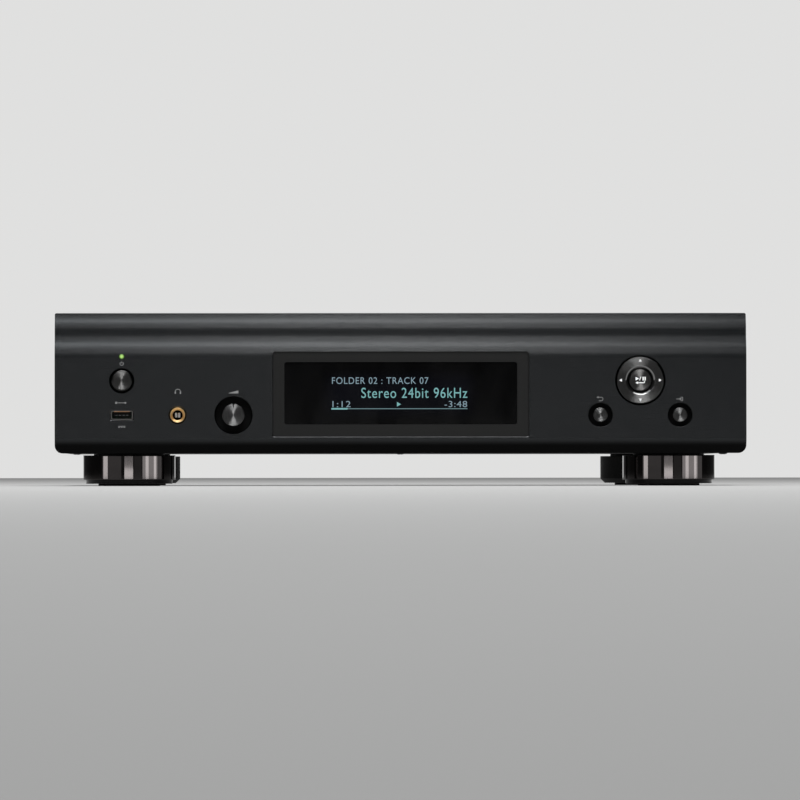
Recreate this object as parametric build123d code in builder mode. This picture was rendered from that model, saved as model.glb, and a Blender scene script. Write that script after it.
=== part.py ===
from build123d import *
from math import asin, cos, degrees, radians, sin, tan
import os

# A full-size network audio player: +X to the right seen from the front, the front faces -Y, +Z up.
# The origin is on the floor, under the middle of the whole length and width. All sizes in millimetres.

# Case
panel_width = 434.0
panel_height = 88.0
panel_thickness = 12.0
panel_drop = 0.5
foot_height = 21.0
body_depth = 400.0
cover_inset = 2.0
cover_step = 1.0
cover_sheet = 1.0
cover_bend = 2.5
cover_fit = 0.2
cover_lip = 9.0
tray_sheet = 1.2
tray_flange = 16.0
rear_flange = 8.5
tray_bend = 2.0
rear_sheet = 1.2
seat_gap = 0.1
edge_gap = 0.3
hidden_sides = 24

# Wave of the front panel, from the flat face up to the top edge, and the roll of its lower edge
wave_angle = 24.0
shoulder_rise = 9.1
valley_rise = 7.8
brow_rise = 6.9
crest_rise = 4.9
roll_height = 9.2
roll_radius = 6.8
roll_angle = 40.0
panel_low_corner = 4.8
panel_top_corner = 1.0
panel_edge = 0.8
hole_edge = 0.4

# Subframe and boards behind the panel
subframe_plate = 2.5
subframe_fit = 0.15
well_depth = 6.0
lug_width = 12.0
lug_depth = 12.0
lug_height = 9.0
lug_inset = 10.3
post_radius = 3.0
post_inset = 4.5
front_board_margin = 14.0
front_board_low = 12.0
front_board_high = 5.0
board_thickness = 1.6
switch_side = 6.2
switch_body = 3.4
switch_nub = 0.5
switch_nub_radius = 1.7

# Heights of the controls above the panel's lower edge, and their places from the panel's ends
control_row = 24.0
led_row = 60.75
power_row = 45.5
cursor_row = 45.7
power_inset = 42.0
control_pitch = 35.0
cursor_inset = 66.7
side_key_pitch = 25.0

# Display, in what the control zones at both ends leave of the panel
control_zone = 136.7
bezel_height = 53.4
bezel_low = 10.4
bezel_corner = 1.4
bezel_sink = 1.0
bezel_front = 2.5
bezel_wall = 2.0
bezel_flange = 4.0
bezel_flange_thickness = 1.5
bezel_fit = 0.15
window_side = 7.25
window_below = 7.7
window_above = 6.6
window_corner = 1.5
window_sink = 0.4
window_fit = 0.1
window_plate = 2.0
module_side = 25.0
module_rim = 3.3
module_thickness = 3.0
display_fit = 0.25

# Push buttons
power_hole_radius = 7.6
power_cap_radius = 6.45
power_cap_edge = 0.9
power_proud = 1.2
side_hole_radius = 7.45
side_cap_radius = 4.6
side_cap_edge = 0.5
side_proud = 0.6
cap_thickness = 1.4
cap_overhang = 0.2
head_room = 0.4
stem_side = 4.4
stem_fit = 0.15
collar_side = 6.4
collar_thickness = 0.7
collar_gap = 0.05
button_travel = 0.8
press_rest_gap = 0.1
led_radius = 1.5
led_proud = 0.2
led_fit = 0.1

# Cursor rocker with its enter button
cursor_hole_radius = 15.5
ring_radius = 14.8
ring_bore = 7.4
ring_lip_radius = 9.2
ring_proud = 0.7
ring_dish = 0.3
ring_edge = 0.5
ring_thickness = 4.1
ring_bevel = 1.5
ridge_radius = 0.9
ridge_length = 1.7
ridge_inset = 0.4
ridge_gap = 0.1
carrier_radius = 14.6
carrier_bore = 7.7
carrier_plate = 1.6
peg_side = 1.8
peg_offset = 12.0
peg_room = 0.8
enter_cap_radius = 6.9
enter_cap_edge = 0.5
enter_proud = 0.2

# Volume knob and encoder
volume_hole_radius = 11.6
knob_radius = 7.0
knob_proud = 5.0
knob_cap = 1.2
knob_cap_edge = 0.4
knob_lift = 0.5
knob_notch_length = 2.3
knob_notch_width = 0.8
knob_side_step = 0.15
shaft_radius = 3.0
shaft_fit = 0.05
shaft_reach = 5.0
encoder_side = 12.0
encoder_bush_radius = 3.6
encoder_bush_setback = 1.0
encoder_bush_fit = 0.1
encoder_shaft_sink = 2.0

# Headphone socket and flat data port on the front
jack_hole_radius = 5.3
jack_bush_radius = 4.7
jack_bush_bore = 3.2
jack_bush_proud = 0.8
jack_bush_funnel = 1.1
jack_boss_setback = 3.0
jack_side = 13.0
jack_length = 26.0
jack_body_bore = 3.6
jack_wall = 2.0
jack_bush_fit = 0.05
jack_bush_edge = 0.25
jack_board_room = 0.5
flat_port_hole_width = 14.2
flat_port_hole_height = 6.2
flat_port_corner = 0.8
flat_port_fit = 0.35
flat_port_wall = 0.35
flat_port_setback = 0.5
flat_port_tongue_width = 11.2
flat_port_tongue_thickness = 1.9
flat_port_tongue_drop = 0.5
flat_port_tongue_setback = 1.5

# Feet
foot_inset = 45.8
front_foot_setback = 55.0
rear_foot_setback = 55.0
foot_radius = 29.25
foot_hub_radius = 22.5
foot_hub = 1.6
trim_wall = 1.0
trim_fit = 0.1
foot_step_radius = 27.4
foot_step = 2.4
pad_radius = 19.6
pad_bore = 9.0
pad_proud = 1.4
rear_foot_chamfer = 3.0
foot_well_radius = 6.0
foot_web = 5.0

# Screws
screw_radius = 1.4
screw_fit = 0.1
screw_head_radius = 2.75
screw_head = 1.3
screw_length = 6.0
foot_screw_radius = 2.0
foot_screw_head_radius = 4.0
foot_screw_head = 2.4
foot_screw_tail = 3.0
cover_screw_rise = 8.0
lip_screw_drop = 4.5
rear_screw_rise = 5.5
rear_screw_count = 4
cover_screw_span = 260.0
lip_screw_inset = 64.0
rear_screw_inset = 24.0
panel_screw_rise = 6.0
panel_screw_drop = 14.0
panel_screw_inset = 12.0

# Boards and power supply inside the case
standoff_height = 8.0
standoff_radius = 3.0
standoff_inset = 6.0
board_back_gap = 3.0
board_side_gap = 6.0
transformer_radius = 46.0
transformer_height = 48.0
transformer_edge = 5.0
transformer_bore = 6.0
transformer_setback = 118.0
transformer_inset = 87.0
washer_radius = 24.0
washer_thickness = 2.0
bolt_radius = 3.0
bolt_head_radius = 6.0
bolt_head = 4.0
board_gap = 16.0
supply_board_margin = 14.0
audio_board_length = 165.0
network_board_width = 112.0
network_board_length = 125.0
network_board_offset = -4.0
capacitor_radius = 12.5
capacitor_height = 42.0
capacitor_pitch = 32.0
capacitor_edge = 1.5
sink_length = 80.0
sink_height = 38.0
sink_base = 4.0
sink_fin = 1.6
sink_fin_reach = 14.0
sink_fin_pitch = 6.0
sink_margin = 8.0
capacitor_setback = 40.0

# Ventilation slots
vent_length = 34.0
vent_width = 3.2
vent_corner = 1.0
vent_pitch = 9.0
vent_count = 8
vent_rows = 2
vent_row_pitch = 46.0
cover_vent_offset = 118.0
cover_vent_back = 120.0
tray_vent_back = 215.0

# Sockets on the rear panel
phono_radius = 4.15
phono_bore = 3.45
phono_reach = 9.0
phono_collar_radius = 6.0
phono_collar = 1.2
phono_fit = 0.15
phono_core_radius = 3.35
phono_core_reach = 2.5
phono_pin_bore = 1.6
phono_block_side = 13.0
phono_block_depth = 16.0
phono_low = 11.0
phono_pitch = 24.0
phono_inset = 16.0
phono_spacing = 22.0
optical_side = 10.4
optical_depth = 15.0
optical_mouth_width = 6.4
optical_mouth_height = 7.2
optical_mouth_depth = 9.0
optical_proud = 0.8
optical_pitch = 16.0
optical_spacing = 18.0
shutter_thickness = 0.7
shutter_pin_radius = 0.5
shutter_pin_fit = 0.08
shutter_setback = 0.6
shutter_gap = 0.15
shutter_pin_hold = 0.6
square_port_width = 12.0
square_port_height = 11.0
square_port_depth = 16.0
square_port_mouth_width = 8.8
square_port_mouth_height = 8.0
port_pitch = 26.0
square_port_tongue_width = 5.6
square_port_tongue_height = 3.2
port_tongue_setback = 1.0
port_proud = 0.5
port_mouth_depth = 9.0
port_fit = 0.3
video_port_width = 15.0
video_port_height = 6.2
video_port_depth = 12.0
video_port_wall = 0.5
video_port_slope = 2.0
video_port_tongue_width = 11.0
video_port_tongue_height = 1.0
network_width = 16.0
network_height = 13.6
network_depth = 21.0
network_mouth_width = 11.8
network_mouth_height = 8.4
network_mouth_low = 1.4
network_mouth_depth = 13.0
network_inset = 46.0
inlet_inset = 44.0
inlet_rise = 36.0
inlet_flange_width = 50.0
inlet_flange_height = 24.0
inlet_flange = 2.0
inlet_flange_corner = 6.0
inlet_body_width = 27.6
inlet_body_height = 20.0
inlet_body_depth = 20.0
inlet_mouth_width = 24.6
inlet_mouth_height = 17.0
inlet_mouth_depth = 16.0
inlet_mouth_slope = 5.0
inlet_screw_span = 40.0
inlet_pin_length = 14.0
inlet_pin_tail = 5.0
inlet_pin_width = 4.0
inlet_pin_thickness = 2.0
inlet_pin_fit = 0.05
inlet_pin_pitch = 14.0
inlet_earth_rise = 4.0
antenna_radius = 3.1
antenna_bore = 2.2
antenna_bore_depth = 6.0
antenna_reach = 10.0
antenna_nut_radius = 5.2
antenna_nut = 2.4
antenna_body_radius = 4.2
antenna_body_depth = 8.0
antenna_fit = 0.15
antenna_inset = 16.0
antenna_drop = 17.0

# Levels worked out from the sizes above
panel_z = foot_height - panel_drop
panel_top_z = panel_z + panel_height
cover_top_z = panel_top_z - cover_step
cover_under_z = cover_top_z - cover_sheet
tray_z = foot_height
floor_z = tray_z + tray_sheet
board_z = floor_z + standoff_height
board_top_z = board_z + board_thickness
overall_depth = knob_proud + body_depth + antenna_reach
face_y = -overall_depth / 2 + knob_proud
panel_back_y = face_y + panel_thickness
subframe_back_y = panel_back_y + subframe_plate
back_y = face_y + body_depth
rear_in_y = back_y - rear_sheet
tray_front_y = panel_back_y + edge_gap
plunger_end_y = subframe_back_y + collar_gap + collar_thickness
switch_face_y = plunger_end_y + button_travel + press_rest_gap
front_board_y = switch_face_y + switch_nub + switch_body
well_y = face_y + well_depth
cover_half = panel_width / 2 - cover_inset
tray_half = cover_half - cover_sheet - cover_fit
tray_in_half = tray_half - tray_sheet

# Places of the controls
control_z = panel_z + control_row
power_z = panel_z + power_row
led_z = panel_z + led_row
cursor_z = panel_z + cursor_row
power_x = -panel_width / 2 + power_inset
jack_x = power_x + control_pitch
volume_x = jack_x + control_pitch
cursor_x = panel_width / 2 - cursor_inset
back_x = cursor_x - side_key_pitch
source_x = cursor_x + side_key_pitch
bezel_width = panel_width - 2 * control_zone
bezel_z = panel_z + bezel_low + bezel_height / 2
window_width = bezel_width - 2 * window_side
window_height = bezel_height - window_below - window_above
window_z = panel_z + bezel_low + window_below + window_height / 2

os.makedirs("parts", exist_ok=True)


def save(builder, name):
    """Label a finished piece and write it under its own name."""
    builder.part.label = name
    export_step(builder.part, f"parts/{name}.step")


def upright(y):
    """Plane across the case at depth y; positive extrusion runs to the front."""
    return Plane.XZ.offset(-y)


def front_at(x, z, y):
    """Plane facing the front at one point."""
    return Plane(origin=(x, y, z), x_dir=(1, 0, 0), z_dir=(0, -1, 0))


def rear_at(x, z, y):
    """Plane facing the rear at one point."""
    return Plane(origin=(x, y, z), x_dir=(-1, 0, 0), z_dir=(0, 1, 0))


def turned(outline, x, z):
    """Turn an outline of (radius, depth) points about a front-to-back axis."""
    with BuildSketch(Plane.XY.offset(z)) as profile:
        with BuildLine():
            Polyline(*[(x + radius, y) for radius, y in outline], close=True)
        make_face()
    revolve(profile.sketch, axis=Axis((x, 0, z), (0, 1, 0)))


def turned_up(outline, x, y):
    """Turn an outline of (radius, height) points about a vertical axis."""
    with BuildSketch(upright(y)) as profile:
        with BuildLine():
            Polyline(*[(x + radius, z) for radius, z in outline], close=True)
        make_face()
    revolve(profile.sketch, axis=Axis((x, y, 0), (0, 0, 1)))


def eight_sided(radius):
    """An eight-sided outline, used for small fasteners and their holes."""
    return RegularPolygon(radius, 8)


def many_sided(radius, inside=False, mode=Mode.ADD):
    """A near-round outline for hidden faces; inside=True keeps clear of a circle of that radius."""
    return RegularPolygon(radius, hidden_sides, major_radius=not inside, mode=mode)


def round_cut(x, z, radius, y_front, y_back):
    """Cut a round hole from y_front to y_back."""
    with BuildSketch(upright(y_back)) as profile:
        with Locations((x, z)):
            Circle(radius)
    extrude(profile.sketch, amount=y_back - y_front, mode=Mode.SUBTRACT)


# Front panel: the wave profile drawn from the side, then trimmed to its outline seen from the front
with BuildPart() as front_panel:
    tilt = radians(wave_angle)
    fall = radians(roll_angle)
    wave_z = panel_top_z - shoulder_rise - valley_rise - brow_rise - crest_rise
    brow_radius = brow_rise / sin(tilt)
    crest_lean = degrees(asin(sin(tilt) - crest_rise / brow_radius))
    slope_rise = roll_height - roll_radius * sin(fall)
    slope_y = face_y + roll_radius * (1 - cos(fall))
    with BuildSketch(Plane.YZ):
        with BuildLine():
            sole = Line((panel_back_y, panel_z), (slope_y + slope_rise * tan(fall), panel_z))
            slope = Line(sole @ 1, (slope_y, panel_z + slope_rise))
            roll = JernArc(slope @ 1, slope % 1, roll_radius, -roll_angle)
            face = Line(roll @ 1, (face_y, wave_z))
            shoulder = JernArc(face @ 1, face % 1, shoulder_rise / sin(tilt), -wave_angle)
            valley = JernArc(shoulder @ 1, shoulder % 1, valley_rise / sin(tilt), wave_angle)
            brow = JernArc(valley @ 1, valley % 1, brow_radius, -wave_angle)
            crest = JernArc(brow @ 1, brow % 1, brow_radius, wave_angle - crest_lean)
            Polyline(crest @ 1, (panel_back_y, panel_top_z), sole @ 0)
        make_face()
    extrude(amount=panel_width / 2, both=True)
    front_rims = front_panel.edges().filter_by(
        lambda edge: abs(abs(edge.center().X) - panel_width / 2) < panel_edge
        and edge.bounding_box().max.Y < panel_back_y - panel_edge
    )
    chamfer(front_rims, panel_edge)
    with BuildSketch(upright(panel_back_y)):
        with Locations((0, panel_z + panel_height / 2)):
            outline = Rectangle(panel_width, panel_height)
        fillet(outline.vertices().group_by(Axis.Y)[0], panel_low_corner)
        fillet(outline.vertices().group_by(Axis.Y)[-1], panel_top_corner)
    extrude(amount=panel_thickness, mode=Mode.INTERSECT)
    for x, z, radius in (
        (power_x, power_z, power_hole_radius),
        (back_x, control_z, side_hole_radius),
        (source_x, control_z, side_hole_radius),
        (cursor_x, cursor_z, cursor_hole_radius),
        (volume_x, control_z, volume_hole_radius),
        (jack_x, control_z, jack_hole_radius),
    ):
        with Locations(front_at(x, z, face_y)):
            CounterSinkHole(radius, radius + hole_edge, panel_thickness, 90)
    round_cut(power_x, led_z, led_radius + led_fit, face_y, panel_back_y)
    with BuildSketch(upright(panel_back_y)):
        with Locations((0, bezel_z)):
            RectangleRounded(bezel_width, bezel_height, bezel_corner)
        with Locations((power_x, control_z)):
            RectangleRounded(flat_port_hole_width, flat_port_hole_height, flat_port_corner)
    extrude(amount=panel_thickness, mode=Mode.SUBTRACT)
    for x, z, width, height, corner in (
        (0, bezel_z, bezel_width, bezel_height, bezel_corner),
        (power_x, control_z, flat_port_hole_width, flat_port_hole_height, flat_port_corner),
    ):
        with BuildSketch(front_at(x, z, face_y)):
            RectangleRounded(width + 2 * hole_edge, height + 2 * hole_edge, corner + hole_edge)
        with BuildSketch(front_at(x, z, face_y + hole_edge)):
            RectangleRounded(width, height, corner)
        loft(mode=Mode.SUBTRACT)
    panel_screw_x = (-tray_half + panel_screw_inset, tray_half - panel_screw_inset)
    panel_screw_z = (panel_z + panel_screw_rise + lug_height, panel_top_z - panel_screw_drop)
    panel_screw_places = [(x, z) for x in panel_screw_x for z in panel_screw_z]
    with BuildSketch(upright(panel_back_y)):
        with Locations(*panel_screw_places):
            eight_sided(screw_radius + screw_fit)
    extrude(amount=screw_length - subframe_plate + screw_fit, mode=Mode.SUBTRACT)
save(front_panel, "front_panel")


# Levels of the cursor rocker, front to back
ring_front_y = face_y - ring_proud
ring_back_y = ring_front_y + ring_thickness
carrier_front_y = ring_back_y + ridge_gap + ridge_radius
carrier_back_y = carrier_front_y + carrier_plate
cursor_floor_y = carrier_back_y + ridge_radius + ridge_gap
side_pegs = [(cursor_x - peg_offset, cursor_z), (cursor_x + peg_offset, cursor_z)]
upper_lower_pegs = [(cursor_x, cursor_z - peg_offset), (cursor_x, cursor_z + peg_offset)]

# Levels of the display, front to back
bezel_front_y = face_y + bezel_sink
bezel_plate_y = bezel_front_y + bezel_front
window_back_y = bezel_plate_y + window_plate
module_back_y = window_back_y + edge_gap + module_thickness
bezel_outer_width = bezel_width - 2 * bezel_fit
bezel_outer_height = bezel_height - 2 * bezel_fit
skirt_width = bezel_outer_width - 2 * bezel_wall
skirt_height = bezel_outer_height - 2 * bezel_wall

# Front boards: left behind the sockets and the power button, right behind the keys
left_board_x = (power_x - front_board_margin, volume_x + front_board_margin)
left_board_z = (control_z - front_board_low, led_z + front_board_high)
right_board_x = (back_x - front_board_margin, source_x + front_board_margin)
right_board_z = (control_z - front_board_low, cursor_z + cursor_hole_radius + front_board_high)
post_places = [
    (x, z)
    for span_x, span_z in ((left_board_x, left_board_z), (right_board_x, right_board_z))
    for x in (span_x[0] + post_inset, span_x[1] - post_inset)
    for z in (span_z[0] + post_inset, span_z[1] - post_inset)
]
lug_places = (-tray_half + lug_inset, 0, tray_half - lug_inset)
lug_y = subframe_back_y + lug_depth / 2

# Moulded subframe: a plate behind the panel with bosses that floor the wells, posts and screw lugs
with BuildPart() as front_subframe:
    subframe_high_z = cover_under_z - edge_gap
    with BuildSketch(upright(subframe_back_y)):
        with Locations((0, (floor_z + subframe_high_z) / 2)):
            Rectangle(2 * (tray_in_half - edge_gap), subframe_high_z - floor_z)
    extrude(amount=subframe_plate)
    for x, z, radius, y in (
        (power_x, power_z, power_hole_radius, well_y),
        (back_x, control_z, side_hole_radius, well_y),
        (source_x, control_z, side_hole_radius, well_y),
        (volume_x, control_z, volume_hole_radius, well_y),
        (cursor_x, cursor_z, cursor_hole_radius, cursor_floor_y),
        (jack_x, control_z, jack_hole_radius, face_y + jack_boss_setback),
    ):
        with BuildSketch(upright(panel_back_y)):
            with Locations((x, z)):
                many_sided(radius - subframe_fit)
        extrude(amount=panel_back_y - y)
    with BuildSketch(upright(front_board_y)):
        with Locations(*post_places):
            eight_sided(post_radius)
    extrude(amount=front_board_y - subframe_back_y)
    with Locations(*[(x, lug_y, floor_z) for x in lug_places]):
        Box(lug_width, lug_depth, lug_height, align=(Align.CENTER, Align.CENTER, Align.MIN))
    with BuildSketch(upright(subframe_back_y)):
        stem_places = [(power_x, power_z), (back_x, control_z), (source_x, control_z), (cursor_x, cursor_z)]
        with Locations(*stem_places):
            Rectangle(stem_side + 2 * stem_fit, stem_side + 2 * stem_fit)
        with Locations(*side_pegs, *upper_lower_pegs):
            Rectangle(peg_side + 2 * peg_room, peg_side + 2 * peg_room)
        with Locations((volume_x, control_z)):
            Circle(encoder_bush_radius + encoder_bush_fit)
        with Locations((jack_x, control_z)):
            Circle(jack_bush_radius + jack_bush_fit)
        with Locations((power_x, led_z)):
            many_sided(led_radius + led_fit, inside=True)
        with Locations(*panel_screw_places):
            eight_sided(screw_radius + screw_fit)
        with Locations((0, bezel_z)):
            Rectangle(
                bezel_outer_width + 2 * (bezel_flange + edge_gap),
                bezel_outer_height + 2 * (bezel_flange + edge_gap),
            )
        with Locations((power_x, control_z)):
            RectangleRounded(flat_port_hole_width, flat_port_hole_height, flat_port_corner)
    extrude(amount=subframe_back_y - face_y, mode=Mode.SUBTRACT)
    with BuildSketch(Plane.XY.offset(floor_z)):
        with Locations(*[(x, lug_y) for x in lug_places]):
            eight_sided(screw_radius + screw_fit)
    extrude(amount=screw_length - tray_sheet + screw_fit, mode=Mode.SUBTRACT)
save(front_subframe, "front_subframe")

# Display bezel: a framed front plate with a skirt through the panel and a flange behind it
with BuildPart() as display_bezel:
    with BuildSketch(upright(bezel_plate_y)):
        with Locations((0, bezel_z)):
            RectangleRounded(bezel_outer_width, bezel_outer_height, bezel_corner - bezel_fit)
        with Locations((0, window_z)):
            RectangleRounded(window_width, window_height, window_corner, mode=Mode.SUBTRACT)
    extrude(amount=bezel_front)
    with BuildSketch(upright(panel_back_y)):
        with Locations((0, bezel_z)):
            RectangleRounded(bezel_outer_width, bezel_outer_height, bezel_corner - bezel_fit)
            Rectangle(skirt_width, skirt_height, mode=Mode.SUBTRACT)
    extrude(amount=panel_back_y - bezel_plate_y)
    with BuildSketch(upright(panel_back_y + bezel_flange_thickness)):
        with Locations((0, bezel_z)):
            Rectangle(bezel_outer_width + 2 * bezel_flange, bezel_outer_height + 2 * bezel_flange)
            Rectangle(skirt_width, skirt_height, mode=Mode.SUBTRACT)
    extrude(amount=bezel_flange_thickness)
save(display_bezel, "display_bezel")

# Display window: a clear plate inside the skirt whose raised middle fills the bezel's opening
with BuildPart() as display_window:
    with BuildSketch(upright(window_back_y)):
        with Locations((0, bezel_z)):
            Rectangle(skirt_width - 2 * display_fit, skirt_height - 2 * display_fit)
    extrude(amount=window_plate)
    with BuildSketch(upright(bezel_plate_y)):
        with Locations((0, window_z)):
            RectangleRounded(window_width - 2 * window_fit, window_height - 2 * window_fit, window_corner)
    extrude(amount=bezel_front - window_sink)
save(display_window, "display_window")

# Display module on its own board
with BuildPart() as display_module:
    with BuildSketch(upright(module_back_y)):
        with Locations((0, window_z)):
            Rectangle(window_width - 2 * module_side, window_height - 2 * module_rim)
    extrude(amount=module_thickness)
save(display_module, "display_module")

# Front boards: left, right and the one that carries the display
with BuildPart() as front_boards:
    with BuildSketch(upright(front_board_y + board_thickness)):
        for span_x, span_z in ((left_board_x, left_board_z), (right_board_x, right_board_z)):
            with Locations(((span_x[0] + span_x[1]) / 2, (span_z[0] + span_z[1]) / 2)):
                Rectangle(span_x[1] - span_x[0], span_z[1] - span_z[0])
        with Locations((jack_x, control_z)):
            jack_room = jack_side + 2 * jack_board_room
            Rectangle(jack_room, jack_room, mode=Mode.SUBTRACT)
    extrude(amount=board_thickness)
    with BuildSketch(upright(module_back_y + board_thickness)):
        with Locations((0, bezel_z)):
            Rectangle(skirt_width - 2 * display_fit, skirt_height - 2 * display_fit)
    extrude(amount=board_thickness)
save(front_boards, "front_boards")

# Tact switches: one behind each plunger and each rocker peg
with BuildPart() as tact_switches:
    switch_places = stem_places + side_pegs + upper_lower_pegs
    with BuildSketch(upright(front_board_y)):
        with Locations(*switch_places):
            Rectangle(switch_side, switch_side)
    extrude(amount=switch_body)
    with BuildSketch(upright(front_board_y - switch_body)):
        with Locations(*switch_places):
            eight_sided(switch_nub_radius)
    extrude(amount=switch_nub)
save(tact_switches, "tact_switches")


def push_button(name, x, z, cap_radius, cap_edge, proud, head_back_y):
    """A metal cap on a plunger that slides in the subframe and presses a switch."""
    cap_front_y = face_y - proud
    cap_back_y = cap_front_y + cap_thickness
    with BuildPart() as cap:
        turned(
            [
                (0, cap_front_y),
                (cap_radius - cap_edge, cap_front_y),
                (cap_radius, cap_front_y + cap_edge),
                (cap_radius, cap_back_y),
                (0, cap_back_y),
            ],
            x,
            z,
        )
    save(cap, f"{name}_cap")
    with BuildPart() as plunger:
        with BuildSketch(upright(head_back_y)):
            with Locations((x, z)):
                many_sided(cap_radius - cap_overhang)
        extrude(amount=head_back_y - cap_back_y)
        with BuildSketch(upright(plunger_end_y)):
            with Locations((x, z)):
                Rectangle(stem_side, stem_side)
        extrude(amount=plunger_end_y - head_back_y)
        with BuildSketch(upright(plunger_end_y)):
            with Locations((x, z)):
                Rectangle(collar_side, collar_side)
        extrude(amount=collar_thickness)
    save(plunger, f"{name}_plunger")


well_head_y = well_y - button_travel - head_room
enter_head_y = cursor_floor_y - button_travel - head_room
push_button("power_button", power_x, power_z, power_cap_radius, power_cap_edge, power_proud, well_head_y)
push_button("back_button", back_x, control_z, side_cap_radius, side_cap_edge, side_proud, well_head_y)
push_button("source_button", source_x, control_z, side_cap_radius, side_cap_edge, side_proud, well_head_y)
push_button("enter_button", cursor_x, cursor_z, enter_cap_radius, enter_cap_edge, enter_proud, enter_head_y)

# Power light: a light pipe from its board to the panel's face
with BuildPart() as power_led_lens:
    led_front_y = face_y - led_proud
    turned(
        [
            (0, led_front_y),
            (led_radius - led_proud, led_front_y),
            (led_radius, led_front_y + led_proud),
            (led_radius, front_board_y),
            (0, front_board_y),
        ],
        power_x,
        led_z,
    )
save(power_led_lens, "power_led_lens")

# Cursor ring: a dished annulus that rocks left and right on the carrier's front ridges
with BuildPart() as cursor_ring:
    ring_lip_y = ring_front_y + ring_dish
    turned(
        [
            (ring_bore, ring_back_y),
            (ring_radius, ring_back_y),
            (ring_radius, ring_front_y + ring_edge),
            (ring_radius - ring_edge, ring_front_y),
            (ring_lip_radius, ring_lip_y),
            (ring_bore, ring_lip_y + ring_bevel),
        ],
        cursor_x,
        cursor_z,
    )
    with BuildSketch(upright(plunger_end_y)):
        with Locations(*side_pegs):
            Rectangle(peg_side, peg_side)
    extrude(amount=plunger_end_y - ring_back_y)
save(cursor_ring, "cursor_ring")

# Cursor carrier: rocks up and down on its rear ridges and carries the ring on its front ridges
with BuildPart() as cursor_carrier:
    with BuildSketch(upright(carrier_back_y)):
        with Locations((cursor_x, cursor_z)):
            many_sided(carrier_radius)
            many_sided(carrier_bore, inside=True, mode=Mode.SUBTRACT)
        with Locations(*side_pegs):
            Rectangle(peg_side + 2 * peg_room, peg_side + 2 * peg_room, mode=Mode.SUBTRACT)
    extrude(amount=carrier_plate)
    ridge_offset = carrier_bore + ridge_inset + ridge_length / 2
    with Locations(*[(cursor_x, carrier_front_y, cursor_z + side * ridge_offset) for side in (-1, 1)]):
        Cylinder(ridge_radius, ridge_length)
    with Locations(*[(cursor_x + side * ridge_offset, carrier_back_y, cursor_z) for side in (-1, 1)]):
        Cylinder(ridge_radius, ridge_length, rotation=(0, 90, 0))
    with BuildSketch(upright(plunger_end_y)):
        with Locations(*upper_lower_pegs):
            Rectangle(peg_side, peg_side)
    extrude(amount=plunger_end_y - carrier_back_y)
save(cursor_carrier, "cursor_carrier")

# Volume knob: a dark body on the encoder's shaft, with a spun cap that has an index notch
knob_front_y = face_y - knob_proud
knob_cap_y = knob_front_y + knob_cap
knob_back_y = well_y - knob_lift
knob_bore_y = knob_back_y - shaft_reach
with BuildPart() as volume_knob:
    knob_side = knob_radius - knob_side_step
    turned(
        [
            (0, knob_cap_y),
            (knob_side, knob_cap_y),
            (knob_side, knob_back_y),
            (shaft_radius + shaft_fit, knob_back_y),
            (shaft_radius + shaft_fit, knob_bore_y),
            (0, knob_bore_y),
        ],
        volume_x,
        control_z,
    )
save(volume_knob, "volume_knob")

with BuildPart() as volume_knob_cap:
    turned(
        [
            (0, knob_front_y),
            (knob_radius - knob_cap_edge, knob_front_y),
            (knob_radius, knob_front_y + knob_cap_edge),
            (knob_radius, knob_cap_y),
            (0, knob_cap_y),
        ],
        volume_x,
        control_z,
    )
    with BuildSketch(upright(knob_cap_y)):
        with Locations((volume_x, control_z + knob_radius)):
            Rectangle(knob_notch_width, 2 * knob_notch_length)
    extrude(amount=knob_cap, mode=Mode.SUBTRACT)
save(volume_knob_cap, "volume_knob_cap")

with BuildPart() as encoder_shaft:
    shaft_front_y = knob_bore_y + seat_gap
    shaft_back_y = subframe_back_y + encoder_shaft_sink - seat_gap
    with BuildSketch(upright(shaft_back_y)):
        with Locations((volume_x, control_z)):
            Circle(shaft_radius)
    extrude(amount=shaft_back_y - shaft_front_y)
save(encoder_shaft, "encoder_shaft")

with BuildPart() as encoder_body:
    encoder_bush_y = well_y + encoder_bush_setback
    with BuildSketch(upright(front_board_y)):
        with Locations((volume_x, control_z)):
            Rectangle(encoder_side, encoder_side)
    extrude(amount=front_board_y - subframe_back_y)
    with BuildSketch(upright(subframe_back_y)):
        with Locations((volume_x, control_z)):
            eight_sided(encoder_bush_radius)
    extrude(amount=subframe_back_y - encoder_bush_y)
    shaft_floor_y = subframe_back_y + encoder_shaft_sink
    round_cut(volume_x, control_z, shaft_radius + shaft_fit, encoder_bush_y, shaft_floor_y)
save(encoder_body, "encoder_body")

# Headphone socket: a gilt bush through the subframe's boss, butted on the jack's body
with BuildPart() as headphone_bush:
    bush_front_y = face_y - jack_bush_proud
    turned(
        [
            (jack_bush_bore, bush_front_y + jack_bush_funnel),
            (jack_bush_bore + jack_bush_funnel, bush_front_y),
            (jack_bush_radius - jack_bush_edge, bush_front_y),
            (jack_bush_radius, bush_front_y + jack_bush_edge),
            (jack_bush_radius, subframe_back_y),
            (jack_bush_bore, subframe_back_y),
        ],
        jack_x,
        control_z,
    )
save(headphone_bush, "headphone_bush")

with BuildPart() as headphone_jack:
    jack_back_y = subframe_back_y + jack_length
    with BuildSketch(upright(jack_back_y)):
        with Locations((jack_x, control_z)):
            Rectangle(jack_side, jack_side)
    extrude(amount=jack_length)
    with BuildSketch(upright(jack_back_y - jack_wall)):
        with Locations((jack_x, control_z)):
            many_sided(jack_body_bore)
    extrude(amount=jack_length - jack_wall, mode=Mode.SUBTRACT)
save(headphone_jack, "headphone_jack")

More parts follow.
